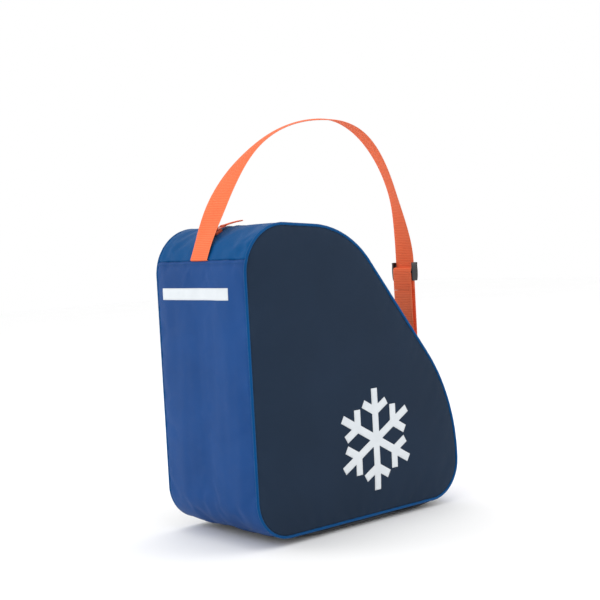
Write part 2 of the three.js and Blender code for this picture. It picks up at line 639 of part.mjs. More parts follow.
// The tab that holds the ring: webbing from the front seam, round the ring's lower bar and back.
function addRingTab() {
  const along = ringLower.clone().sub(frontSeam);
  const reach = along.length();
  const rootHalf = WEBBING / 2 + GAP;
  const tab = new THREE.Path();
  tab.moveTo(TAB_ROOT, rootHalf);
  tab.lineTo(reach, bendRadius);
  tab.absarc(reach, 0, bendRadius, Math.PI / 2, -Math.PI / 2, true);
  tab.lineTo(TAB_ROOT, -rootHalf);
  const geometry = ribbon(stationsAlong(tab, 24), WEBBING_WIDTH, WEBBING);
  const mesh = add("ring_tab", geometry, ORANGE);
  mesh.position.set(frontSeam.x, 0, frontSeam.y);
  mesh.rotation.y = -along.angle();
}

// ---- The prints --------------------------------------------------------------------------------------------------
// A plain snow crystal on the right panel and a plain bar on the back, both thin film.
function crystalArm(turn, size) {
  const stem = size / 2;
  const half = (ARM_WIDTH * size) / 2;
  const arm = block(0, stem, -half, half, 0, PRINT_THICKNESS);
  const branches = [-BRANCH_ANGLE, BRANCH_ANGLE].map((angle) => {
    const branch = block(0, stem * BRANCH_LENGTH, -half, half, 0, PRINT_THICKNESS);
    return branch.rotateZ(rad(angle)).translate(stem * BRANCH_PLACE, 0, 0);
  });
  return [arm, ...branches].map((geometry) => geometry.rotateZ(rad(turn)));
}

function addPrints() {
  const arms = [30, 90, 150, 210, 270, 330].flatMap((turn) => crystalArm(turn, SIDE_PRINT_SIZE));
  const crystal = joined(...arms);
  const face = SIDE_Y + WALL_OUT + GAP;
  crystal.rotateX(Math.PI / 2).translate(HEEL_X + SIDE_PRINT_REACH, -face, SIDE_PRINT_RISE);
  add("side_print", crystal, WHITE_FILM);

  const top = outlinePoint(HEEL_TOP_SEAM).y - BACK_PRINT_DROP;
  const out = HEEL_X - WALL_OUT - GAP;
  const right = BACK_PRINT_SHIFT - BACK_PRINT_WIDTH / 2;
  const bar = block(out - PRINT_THICKNESS, out, right, right + BACK_PRINT_WIDTH, top - BACK_PRINT_HEIGHT, top);
  add("back_print", bar, WHITE_FILM);
}

addSidePanels();
addGussetPanels();
addSole();
addBaseBoard();
addPiping();
addSeamBindings();
addCrossBindings();
addZip();
addSliderAndPull();
addStrapWebbing();
addAdjuster();
addRing();
addRingTab();
addPrints();

// The origin is on the ground under the middle of the bag's box.
const bag = new THREE.Group();
bag.add(parts);
const box = new THREE.Box3().setFromObject(bag, true);
const middle = box.getCenter(new THREE.Vector3());
parts.position.set(-middle.x, -middle.y, -box.min.z);

export default bag;
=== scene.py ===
"""A ski boot bag in its studio: soft shell, piping, zip, webbing strap, plastic fittings and prints."""

import json
import logging
import math
from collections.abc import Iterable, Sequence
from dataclasses import dataclass, field
from enum import Enum

import bmesh
import bpy
import numpy as np
from mathutils import Matrix, Quaternion, Vector, kdtree, noise
from mathutils.bvhtree import BVHTree
from mathutils.geometry import delaunay_2d_cdt

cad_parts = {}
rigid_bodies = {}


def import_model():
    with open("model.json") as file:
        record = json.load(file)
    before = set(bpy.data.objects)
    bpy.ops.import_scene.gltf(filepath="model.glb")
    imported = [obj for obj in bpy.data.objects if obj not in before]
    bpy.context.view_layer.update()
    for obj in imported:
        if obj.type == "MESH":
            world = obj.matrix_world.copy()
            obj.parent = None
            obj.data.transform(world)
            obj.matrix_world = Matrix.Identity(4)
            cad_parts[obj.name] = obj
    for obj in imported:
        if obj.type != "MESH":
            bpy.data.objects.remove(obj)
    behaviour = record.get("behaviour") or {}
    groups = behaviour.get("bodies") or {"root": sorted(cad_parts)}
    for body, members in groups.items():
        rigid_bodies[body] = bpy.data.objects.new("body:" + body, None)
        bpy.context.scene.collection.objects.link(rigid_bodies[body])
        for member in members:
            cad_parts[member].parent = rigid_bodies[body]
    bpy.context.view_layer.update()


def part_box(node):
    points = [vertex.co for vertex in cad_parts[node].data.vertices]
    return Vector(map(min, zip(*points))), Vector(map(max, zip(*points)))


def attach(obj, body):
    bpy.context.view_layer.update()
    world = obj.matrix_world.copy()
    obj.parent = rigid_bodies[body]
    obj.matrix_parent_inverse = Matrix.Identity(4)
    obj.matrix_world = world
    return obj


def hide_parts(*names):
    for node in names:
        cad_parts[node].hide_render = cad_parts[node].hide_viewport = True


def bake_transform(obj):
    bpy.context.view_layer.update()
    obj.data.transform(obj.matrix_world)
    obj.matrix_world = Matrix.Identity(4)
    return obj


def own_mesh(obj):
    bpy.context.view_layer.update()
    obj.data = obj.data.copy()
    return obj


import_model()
LOG = logging.getLogger("boot_bag")
MM = 0.001
UV = "UVMap"
WEAR = "wear"

Array = np.ndarray
Object = bpy.types.Object
Material = bpy.types.Material

MERGE_GAP = 0.01 * MM  # closer points are one
BEVEL_ANGLE = 35  # degrees; edges flatter than this stay as they are
LUG_BANDS = 12  # bands that round the adjuster's outer sides
TRIANGLE_HEIGHT = 0.866  # height of an even triangle of side 1
SENSOR_WIDTH = 36.0  # the camera's, in mm
LIGHT_AIM = (0, 0, 0.25)  # the point that every lamp faces


# ---- Small helpers -------------------------------------------------------------------------------


def smooth(value: Array | float, low: float, high: float) -> Array | float:
    """Rise smoothly from 0 at low to 1 at high."""
    t = np.clip((np.asarray(value, float) - low) / (high - low), 0.0, 1.0)
    return t * t * (3.0 - 2.0 * t)


def linear(code: str) -> tuple[float, float, float, float]:
    """Turn a display colour such as 2e5083 into the linear values that shaders take."""
    channels = [int(code[i : i + 2], 16) / 255 for i in (0, 2, 4)]
    straight = [c / 12.92 if c <= 0.04045 else ((c + 0.055) / 1.055) ** 2.4 for c in channels]
    return (*straight, 1.0)


def points_of(mesh: bpy.types.Mesh, what: str = "co") -> Array:
    """Read every vertex's place or normal as rows of three."""
    values = np.empty(len(mesh.vertices) * 3, dtype=np.float32)
    mesh.vertices.foreach_get(what, values)
    return values.reshape(-1, 3).astype(float)


def set_points(mesh: bpy.types.Mesh, places: Array) -> None:
    """Write every vertex's place."""
    mesh.vertices.foreach_set("co", places.astype(np.float32).ravel())
    mesh.update()


def noise_at(places: Array, scale: Sequence[float], seed: float = 0.0) -> Array:
    """Sample soft noise, about -1 to 1, at each place.

    Args:
        places: Rows of three coordinates.
        scale: How many bumps per metre along each axis.
        seed: Moves the pattern.

    Returns:
        One value for each row.
    """
    stretched = places * np.asarray(scale) + seed
    return np.array([noise.noise(Vector(row)) for row in stretched])


def make_object(
    name: str,
    places: Array | Sequence,
    faces: Iterable[Sequence[int]],
    uv: Array | None = None,
    material: Material | None = None,
) -> Object:
    """Make a smooth mesh object at the origin.

    Args:
        name: The object's name.
        places: Its vertices, in metres in the frame.
        faces: Vertex numbers of each face.
        uv: Two values for each vertex, in metres along the cloth.
        material: Its finish.

    Returns:
        The linked object.
    """
    mesh = bpy.data.meshes.new(name)
    mesh.from_pydata([tuple(p) for p in places], [], [tuple(f) for f in faces])
    mesh.update()
    if uv is not None:
        loops = np.empty(len(mesh.loops), dtype=np.int32)
        mesh.loops.foreach_get("vertex_index", loops)
        layer = mesh.uv_layers.new(name=UV)
        layer.data.foreach_set("uv", np.asarray(uv, dtype=np.float32)[loops].ravel())
    mesh.shade_smooth()
    obj = bpy.data.objects.new(name, mesh)
    bpy.context.scene.collection.objects.link(obj)
    if material:
        mesh.materials.append(material)
    return obj


def applied(obj: Object) -> Object:
    """Turn an object's live modifiers into its mesh.

    Args:
        obj: The object, whose modifiers are then removed.

    Returns:
        The same object.
    """
    bpy.context.view_layer.update()
    graph = bpy.context.evaluated_depsgraph_get()
    mesh = bpy.data.meshes.new_from_object(obj.evaluated_get(graph), depsgraph=graph)
    mesh.name = obj.name
    old = obj.data
    obj.modifiers.clear()
    obj.data = mesh
    if old.users == 0:
        bpy.data.meshes.remove(old) if isinstance(old, bpy.types.Mesh) else None
    return obj


def subdivided(obj: Object, levels: int = 1) -> Object:
    """Round an object's mesh with applied subdivision."""
    modifier = obj.modifiers.new("Round", "SUBSURF")
    modifier.levels = modifier.render_levels = levels
    modifier.boundary_smooth = "ALL"
    return applied(obj)


def thicken(obj: Object, thickness: float) -> Object:
    """Give a sheet its thickness inwards, with its rim closed."""
    modifier = obj.modifiers.new("Thickness", "SOLIDIFY")
    modifier.thickness = thickness
    modifier.offset = -1.0
    modifier.use_even_offset = False
    return applied(obj)


def tree_of(obj: Object) -> BVHTree:
    """Make the search tree that other pieces are laid on."""
    mesh = obj.data
    return BVHTree.FromPolygons([v.co for v in mesh.vertices], [p.vertices for p in mesh.polygons])


def finish_piece(obj: Object, body: str, slot: str, *nodes: str) -> Object:
    """Hand a finished piece to the frame.

    Args:
        obj: The piece.
        body: The body it rides on.
        slot: The record's material slot; not used.
        nodes: The CAD nodes that it stands for.

    Returns:
        The same piece.
    """
    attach(obj, body)
    return told(obj, slot, *nodes)


def told(obj: Object, slot: str, *nodes: str) -> Object:
    """Hide the CAD nodes that a piece stands for and report the piece."""
    if nodes:
        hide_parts(*nodes)
    LOG.info("%s: %d faces, stands for %s", obj.name, len(obj.data.polygons), ", ".join(nodes) or "nothing")
    return obj


# ---- Finishes ------------------------------------------------------------------------------------


class Weave(Enum):
    """How the threads of a cloth cross."""

    PLAIN = "plain"
    TWILL = "twill"
    RIBBED = "ribbed"


class Coordinates(Enum):
    """What a pattern follows."""

    CLOTH = "cloth"
    BODY = "body"


class NodeBench:
    """A material's node tree with short ways to add and join nodes."""

    def __init__(self, name: str) -> None:
        """Start an empty material with its shader."""
        self.material = bpy.data.materials.new(name)
        self.material.use_nodes = True
        self.tree = self.material.node_tree
        self.tree.nodes.clear()
        self.shader = self.add("ShaderNodeBsdfPrincipled")
        output = self.add("ShaderNodeOutputMaterial")
        self.join(self.shader.outputs[0], output.inputs[0])

    def add(self, kind: str, **values: object) -> bpy.types.Node:
        """Add a node and set its properties."""
        node = self.tree.nodes.new(kind)
        for key, value in values.items():
            setattr(node, key, value)
        return node

    def join(self, source: bpy.types.NodeSocket, target: bpy.types.NodeSocket) -> None:
        """Join two sockets."""
        self.tree.links.new(source, target)

    def math(self, operation: str, a: object, b: object = None) -> bpy.types.NodeSocket:
        """Add a math node on sockets or numbers and return its result."""
        node = self.add("ShaderNodeMath", operation=operation)
        for socket, value in zip(node.inputs, (a, b)):
            if isinstance(value, bpy.types.NodeSocket):
                self.join(value, socket)
            elif value is not None:
                socket.default_value = value
        return node.outputs[0]

    def noise(
        self, scale: float, detail: float = 2.0, stretch: Sequence[float] = (1, 1, 1)
    ) -> bpy.types.NodeSocket:
        """Add noise on Object coordinates, in bumps per metre."""
        place = self.add("ShaderNodeTexCoord")
        mapping = self.add("ShaderNodeMapping")
        mapping.inputs["Scale"].default_value = stretch
        texture = self.add("ShaderNodeTexNoise")
        texture.inputs["Scale"].default_value = scale
        texture.inputs["Detail"].default_value = detail
        self.join(place.outputs["Object"], mapping.inputs["Vector"])
        self.join(mapping.outputs[0], texture.inputs["Vector"])
        return texture.outputs["Fac"]

    def mix(self, share: bpy.types.NodeSocket, a: object, b: object) -> bpy.types.NodeSocket:
        """Mix two colours, each a socket or a linear colour."""
        node = self.add("ShaderNodeMix", data_type="RGBA", clamp_factor=True)
        self.join(share, node.inputs[0])
        for socket, value in ((node.inputs[6], a), (node.inputs[7], b)):
            if isinstance(value, bpy.types.NodeSocket):
                self.join(value, socket)
            else:
                socket.default_value = value
        return node.outputs[2]

    def span(self, value: bpy.types.NodeSocket, low: float, high: float) -> bpy.types.NodeSocket:
        """Stretch a value from 0..1 to low..high."""
        node = self.add("ShaderNodeMapRange")
        node.inputs["To Min"].default_value = low
        node.inputs["To Max"].default_value = high
        self.join(value, node.inputs["Value"])
        return node.outputs[0]

    def bump(self, height: bpy.types.NodeSocket, distance: float, strength: float) -> None:
        """Give the shader its fine relief."""
        node = self.add("ShaderNodeBump")
        node.inputs["Strength"].default_value = strength
        node.inputs["Distance"].default_value = distance
        self.join(height, node.inputs["Height"])
        self.join(node.outputs[0], self.shader.inputs["Normal"])


@dataclass(frozen=True)
class Fabric:
    """A woven cloth: its two tones, its threads and how it catches the light."""

    name: str
    dark: str
    light: str
    weave: Weave = Weave.PLAIN
    pitch: float = 0.55 * MM
    roughness: float = 0.62
    sheen: float = 0.012
    relief: float = 0.25
    follows: Coordinates = Coordinates.CLOTH
    worn: str = ""

    def _threads(self, bench: NodeBench) -> bpy.types.NodeSocket:
        """Return the height of the crossing threads, 0 to 1."""
        if self.follows is Coordinates.CLOTH:
            source = bench.add("ShaderNodeUVMap", uv_map=UV).outputs[0]
        else:
            source = bench.add("ShaderNodeTexCoord").outputs["Object"]
        split = bench.add("ShaderNodeSeparateXYZ")
        bench.join(source, split.inputs[0])
        turns = 2 * math.pi / self.pitch
        u = bench.math("MULTIPLY", split.outputs[0], turns)
        v = bench.math("MULTIPLY", split.outputs[1 if self.follows is Coordinates.CLOTH else 2], turns)
        if self.weave is Weave.TWILL:
            wave = bench.math("SINE", bench.math("ADD", u, v))
        elif self.weave is Weave.RIBBED:
            across = bench.math("SINE", bench.math("MULTIPLY", v, 4.0))
            rib = bench.math("MULTIPLY", bench.math("COSINE", u), -0.75)
            wave = bench.math("ADD", rib, bench.math("MULTIPLY", across, 0.25))
        else:
            wave = bench.math("MULTIPLY", bench.math("SINE", u), bench.math("SINE", v))
        return bench.span(bench.math("ADD", bench.math("MULTIPLY", wave, 0.5), 0.5), 0.0, 1.0)

    def material(self) -> Material:
        """Build the shader."""
        bench = NodeBench(self.name)
        threads = self._threads(bench)
        cloud = bench.noise(9.0, 3.0)
        grain = bench.noise(900.0, 1.0)
        share = 0.55 if self.weave is Weave.RIBBED else 0.25
        tone = bench.math("ADD", bench.math("MULTIPLY", cloud, 0.8), bench.math("MULTIPLY", threads, share))
        tone = bench.math("ADD", tone, bench.math("MULTIPLY", grain, 0.12))
        colour = bench.mix(bench.math("SUBTRACT", tone, 0.1), linear(self.dark), linear(self.light))
        if self.worn:
            wear = bench.add("ShaderNodeAttribute", attribute_name=WEAR)
            rubbed = bench.math("MULTIPLY", wear.outputs["Fac"], bench.noise(160.0, 4.0))
            colour = bench.mix(rubbed, colour, linear(self.worn))
        bench.join(colour, bench.shader.inputs["Base Color"])
        rough = bench.span(cloud, self.roughness - 0.07, self.roughness + 0.07)
        bench.join(rough, bench.shader.inputs["Roughness"])
        bench.shader.inputs["Specular IOR Level"].default_value = 0.07
        bench.shader.inputs["Sheen Weight"].default_value = self.sheen
        bench.shader.inputs["Sheen Roughness"].default_value = 0.4
        height = bench.math("ADD", threads, bench.math("MULTIPLY", grain, 0.5))
        bench.bump(height, min(self.pitch, 1 * MM) * 0.5, self.relief)
        return bench.material


@dataclass(frozen=True)
class Solid:
    """A moulded or cast finish with a fine grain."""

    name: str
    dark: str
    light: str
    roughness: float = 0.4
    metallic: float = 0.0
    coat: float = 0.0
    grain: float = 1400.0
    relief: float = 0.15

    def material(self) -> Material:
        """Build the shader."""
        bench = NodeBench(self.name)
        cloud = bench.noise(60.0, 3.0)
        grain = bench.noise(self.grain, 2.0)
        bench.join(bench.mix(cloud, linear(self.dark), linear(self.light)), bench.shader.inputs["Base Color"])
        rough = bench.span(grain, self.roughness - 0.08, self.roughness + 0.12)
        bench.join(rough, bench.shader.inputs["Roughness"])
        bench.shader.inputs["Metallic"].default_value = self.metallic
        bench.shader.inputs["Coat Weight"].default_value = self.coat
        bench.bump(grain, 0.1 * MM, self.relief)
        return bench.material


def made_of(recipe: Fabric | Solid) -> Material:
    """Return a field whose material is built from the recipe with its owner."""
    return field(default_factory=recipe.material)


@dataclass
class Finishes:
    """Every material of the bag, each made once."""

    navy: Material = made_of(Fabric("navy_cloth", "1a2737", "243347", worn="35465b"))
    royal: Material = made_of(Fabric("royal_cloth", "13376a", "235191", roughness=0.5, worn="2f609f"))
    teal: Material = made_of(Fabric("teal_cloth", "004174", "01508a", roughness=0.5, worn="1a6ba4"))
    piping: Material = made_of(
        Fabric("piping_cloth", "023e70", "06528c", Weave.TWILL, 0.7 * MM, roughness=0.4, sheen=0.05,
               relief=0.3))
    sole: Material = made_of(
        Fabric("sole_cloth", "131417", "202227", pitch=0.9 * MM, roughness=0.75, relief=0.5, worn="55585d"))
    webbing: Material = made_of(
        Fabric("strap_webbing_cloth", "dd4e25", "fb8054", Weave.RIBBED, 2.6 * MM, roughness=0.6, sheen=0.02,
               relief=0.4, worn="ff9a72"))
    tape: Material = made_of(
        Fabric("zip_tape_cloth", "0d4470", "165788", Weave.TWILL, 0.5 * MM, roughness=0.7))
    binding: Material = made_of(
        Fabric("binding_cloth", "17181c", "222429", Weave.TWILL, 0.8 * MM, roughness=0.75,
               follows=Coordinates.BODY))
    thread_blue: Material = made_of(
        Fabric("blue_thread", "0c3a66", "1b5a8f", Weave.TWILL, 0.3 * MM, roughness=0.5, sheen=0.1,
               follows=Coordinates.BODY))
    thread_orange: Material = made_of(
        Fabric("orange_thread", "d9572f", "f47b4c", Weave.TWILL, 0.3 * MM, roughness=0.5, sheen=0.1,
               follows=Coordinates.BODY))
    black_plastic: Material = made_of(Solid("black_acetal", "0e0f11", "17181b", 0.38))
    coil: Material = made_of(Solid("zip_nylon", "0c355b", "134a78", 0.35, coat=0.1))
    metal: Material = made_of(Solid("zip_casting", "b8482c", "d65f3c", 0.36, 0.35, 0.4, 500.0, 0.1))
    cord: Material = made_of(Solid("piping_core_plastic", "bfc2c6", "d2d5d8", 0.5))
    board: Material = made_of(Solid("sole_board", "2b2d31", "383b40", 0.6, grain=700.0))
    film: Material = made_of(Solid("print_film_white", "cdd3d8", "dce1e5", 0.5, grain=1800.0, relief=0.3))


# ---- The side outline ----------------------------------------------------------------------------


@dataclass(frozen=True)
class Bend:
    """One bend of the side outline, between the facings where it starts and ends, in degrees."""

    x: float
    z: float
    radius: float
    start: float
    end: float

    @property
    def length(self) -> float:
        """The bend's length along the outline."""
        return self.radius * math.radians(self.end - self.start)

    def place(self, facing: float, offset: float = 0.0) -> tuple[float, float, float, float]:
        """Return the point and outward normal in the X-Z plane at a facing."""
        nx, nz = math.cos(math.radians(facing)), math.sin(math.radians(facing))
        reach = self.radius + offset
        return self.x + nx * reach, self.z + nz * reach, nx, nz


@dataclass
class Outline:
    """The piping's line round a side panel, measured along from the toe end of the sole.

    Each corner is where two sides would meet: its place, the bend's radius, and the most of a side it
    may take.
    """

    length: float = 375.0
    height: float = 415.0
    toe_height: float = 144.0
    toe_lean: float = 2.0
    shoulder_setback: float = 181.0
    shoulder_drop: float = 14.0
    panel_edge: float = 3.05
    bends: list[Bend] = field(default_factory=list)
    starts: list[float] = field(default_factory=list)

    def __post_init__(self) -> None:
        """Round the corners and lay them in the frame."""
        heel, toe = -self.length / 2, self.length / 2
        corners = [
            (toe, 0.0, 54.0, 0.374),
            (toe + self.toe_lean, self.toe_height, 265.0, 0.62),
            (heel + self.shoulder_setback, self.height - self.shoulder_drop, 137.0, 0.5),
            (heel, self.height, 64.0, 0.48),
            (heel, 0.0, 52.0, 0.3),
        ]
        low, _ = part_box("side_panel_right")
        shift = Vector((low[0] / MM - heel - self.panel_edge, low[2] / MM - self.panel_edge))
        for i, (x, z, wanted, share) in enumerate(corners):
            at = Vector((x, z))
            before = Vector(corners[i - 1][:2])
            after = Vector(corners[(i + 1) % len(corners)][:2])
            start = self._facing(before, at)
            end = start + 90.0 if i == len(corners) - 1 else self._facing(at, after)
            half = math.radians((end - start) / 2)
            radius = min(wanted, share * min((at - before).length, (after - at).length) / math.tan(half))
            way = math.radians((start + end) / 2)
            centre = at + shift - Vector((math.cos(way), math.sin(way))) * (radius / math.cos(half))
            self.bends.append(Bend(centre.x * MM, centre.y * MM, radius * MM, start, end))
        place = 0.0
        for bend, following in zip(self.bends, self.bends[1:] + self.bends[:1]):
            self.starts.append(place)
            x0, z0, _, _ = bend.place(bend.end)
            x1, z1, _, _ = following.place(following.start)
            place += bend.length + math.hypot(x1 - x0, z1 - z0)
        self.total = place
        self.table = np.array([self.at(s)[:2] for s in np.linspace(0, self.total, 1400, endpoint=False)])
        self.search = kdtree.KDTree(len(self.table))
        for i, (x, z) in enumerate(self.table):
            self.search.insert((x, 0.0, z), i)
        self.search.balance()

    @staticmethod
    def _facing(a: Vector, b: Vector) -> float:
        """Return the way, in degrees, that the side from one corner to the next faces."""
        along = b - a
        degrees = math.degrees(math.atan2(-along.x, along.y))
        return degrees + 360.0 if degrees < -90.01 else degrees

    def at(self, s: float, offset: float = 0.0) -> tuple[float, float, float, float]:
        """Return the point and outward normal at a length along the outline."""
        s = s % self.total
        i = max(k for k, start in enumerate(self.starts) if start <= s + 1e-12)
        bend = self.bends[i]
        past = s - self.starts[i] - bend.length
        if past <= 0:
            return bend.place(bend.start + math.degrees((s - self.starts[i]) / bend.radius), offset)
        x, z, nx, nz = bend.place(bend.end, offset)
        return x - nz * past, z + nx * past, nx, nz

    def length_at(self, facing: float) -> float:
        """Return the length along the outline at a facing on one of its bends."""
        for bend, start in zip(self.bends, self.starts):
            if bend.start - 1e-9 <= facing <= bend.end + 1e-9:
                return start + bend.radius * math.radians(facing - bend.start)
        raise ValueError(f"no bend faces {facing}")

    def measure(self, places: Array) -> tuple[Array, Array]:
        """Return each place's length along the outline and its distance from it."""
        step = self.total / len(self.table)
        found = [self.search.find((p[0], 0.0, p[2])) for p in places]
        return np.array([f[1] * step for f in found]), np.array([f[2] for f in found])

    def stretch(self, start: float, end: float, step: float) -> Array:
        """Return even lengths from start to end, each about a step long."""
        return np.linspace(start, end, max(2, round((end - start) / step) + 1))


@dataclass(frozen=True)
class Seams:
    """Facings of the seams that cross the gusset, in degrees."""

    toe_sole: float = -55.0
    front: float = 16.0
    heel_top: float = 161.4
    heel_sole: float = 264.0


# ---- Repeats along a path ------------------------------------------------------------------------


class PathRepeat:
    """Geometry Nodes that set copies of a small shape along a path, leaning with its surface."""

    def __init__(self) -> None:
        """Build the node tree with its named inputs."""
        tree = bpy.data.node_groups.new("RepeatAlongPath", "GeometryNodeTree")
        tree.is_modifier = True
        face = tree.interface
        face.new_socket(name="Geometry", in_out="INPUT", socket_type="NodeSocketGeometry")
        inputs = {"Pitch": "Float", "Shape": "Object", "Finish": "Material", "Wobble": "Float", "Seed": "Int"}
        for name, kind in inputs.items():
            face.new_socket(name=name, in_out="INPUT", socket_type=f"NodeSocket{kind}")
        face.new_socket(name="Geometry", in_out="OUTPUT", socket_type="NodeSocketGeometry")
        new, link = tree.nodes.new, tree.links.new
        given = new("NodeGroupInput")
        curve = new("GeometryNodeMeshToCurve")
        resample = new("GeometryNodeResampleCurve")
        resample.mode = "LENGTH"
        tangent = new("GeometryNodeInputTangent")
        up = new("GeometryNodeInputNamedAttribute")
        up.data_type = "FLOAT_VECTOR"
        up.inputs["Name"].default_value = "up"
        along = new("FunctionNodeAlignRotationToVector")
        along.axis = "X"
        upright = new("FunctionNodeAlignRotationToVector")
        upright.axis, upright.pivot_axis = "Z", "X"
        wobble = new("FunctionNodeRandomValue")
        wobble.data_type = "FLOAT_VECTOR"
        flip = new("ShaderNodeVectorMath")
        flip.operation = "SCALE"
        flip.inputs["Scale"].default_value = -1.0
        spread = new("ShaderNodeCombineXYZ")
        turn = new("FunctionNodeEulerToRotation")
        tilted = new("FunctionNodeRotateRotation")
        tilted.rotation_space = "LOCAL"
        shape = new("GeometryNodeObjectInfo")
        place = new("GeometryNodeInstanceOnPoints")
        real = new("GeometryNodeRealizeInstances")
        dress = new("GeometryNodeSetMaterial")
        out = new("NodeGroupOutput")
        link(given.outputs["Geometry"], curve.inputs["Mesh"])
        link(curve.outputs[0], resample.inputs["Curve"])
        link(given.outputs["Pitch"], resample.inputs["Length"])
        link(tangent.outputs[0], along.inputs["Vector"])
        link(along.outputs[0], upright.inputs["Rotation"])
        link(up.outputs["Attribute"], upright.inputs["Vector"])
        for socket in spread.inputs:
            link(given.outputs["Wobble"], socket)
        link(spread.outputs[0], flip.inputs[0])
        link(flip.outputs[0], wobble.inputs[0])
        link(spread.outputs[0], wobble.inputs[1])
        link(given.outputs["Seed"], wobble.inputs["Seed"])
        link(wobble.outputs[0], turn.inputs[0])
        link(upright.outputs[0], tilted.inputs[0])
        link(turn.outputs[0], tilted.inputs[1])
        link(given.outputs["Shape"], shape.inputs["Object"])
        link(resample.outputs[0], place.inputs["Points"])
        link(shape.outputs["Geometry"], place.inputs["Instance"])
        link(tilted.outputs[0], place.inputs["Rotation"])
        link(place.outputs[0], real.inputs[0])
        link(real.outputs[0], dress.inputs["Geometry"])
        link(given.outputs["Finish"], dress.inputs["Material"])
        link(dress.outputs[0], out.inputs[0])
        self.tree = tree

    def run(
        self, name: str, paths: Sequence[tuple[Array, Array]], shape: Object, pitch: float, finish: Material,
        wobble: float = 0.0, seed: int = 1,
    ) -> Object:
        """Make one plain mesh of the copies.

        Args:
            name: The piece's name.
            paths: Pairs of points and surface normals, one pair for each path.
            shape: The shape to copy, lying along its own X with Z away from the surface.
            pitch: From one copy to the next.
            finish: Their material.
            wobble: The most a copy turns at random, in radians.
            seed: Fixes the random turns.

        Returns:
            The realised piece.
        """
        places = np.concatenate([p for p, _ in paths])
        normals = np.concatenate([n for _, n in paths])
        edges, first = [], 0
        for p, _ in paths:
            edges += [(first + i, first + i + 1) for i in range(len(p) - 1)]
            first += len(p)
        mesh = bpy.data.meshes.new(name)
        mesh.from_pydata([tuple(p) for p in places], edges, [])
        up = mesh.attributes.new("up", "FLOAT_VECTOR", "POINT")
        up.data.foreach_set("vector", normals.astype(np.float32).ravel())
        obj = bpy.data.objects.new(name, mesh)
        bpy.context.scene.collection.objects.link(obj)
        modifier = obj.modifiers.new("Repeat", "NODES")
        modifier.node_group = self.tree
        values = {"Pitch": pitch, "Shape": shape, "Finish": finish, "Wobble": wobble, "Seed": seed}
        for item in self.tree.interface.items_tree:
            if item.in_out == "INPUT" and item.name in values:
                modifier[item.identifier] = values[item.name]
        applied(obj)
        obj.data.materials.clear()
        obj.data.materials.append(finish)
        obj.data.shade_smooth()
        return obj


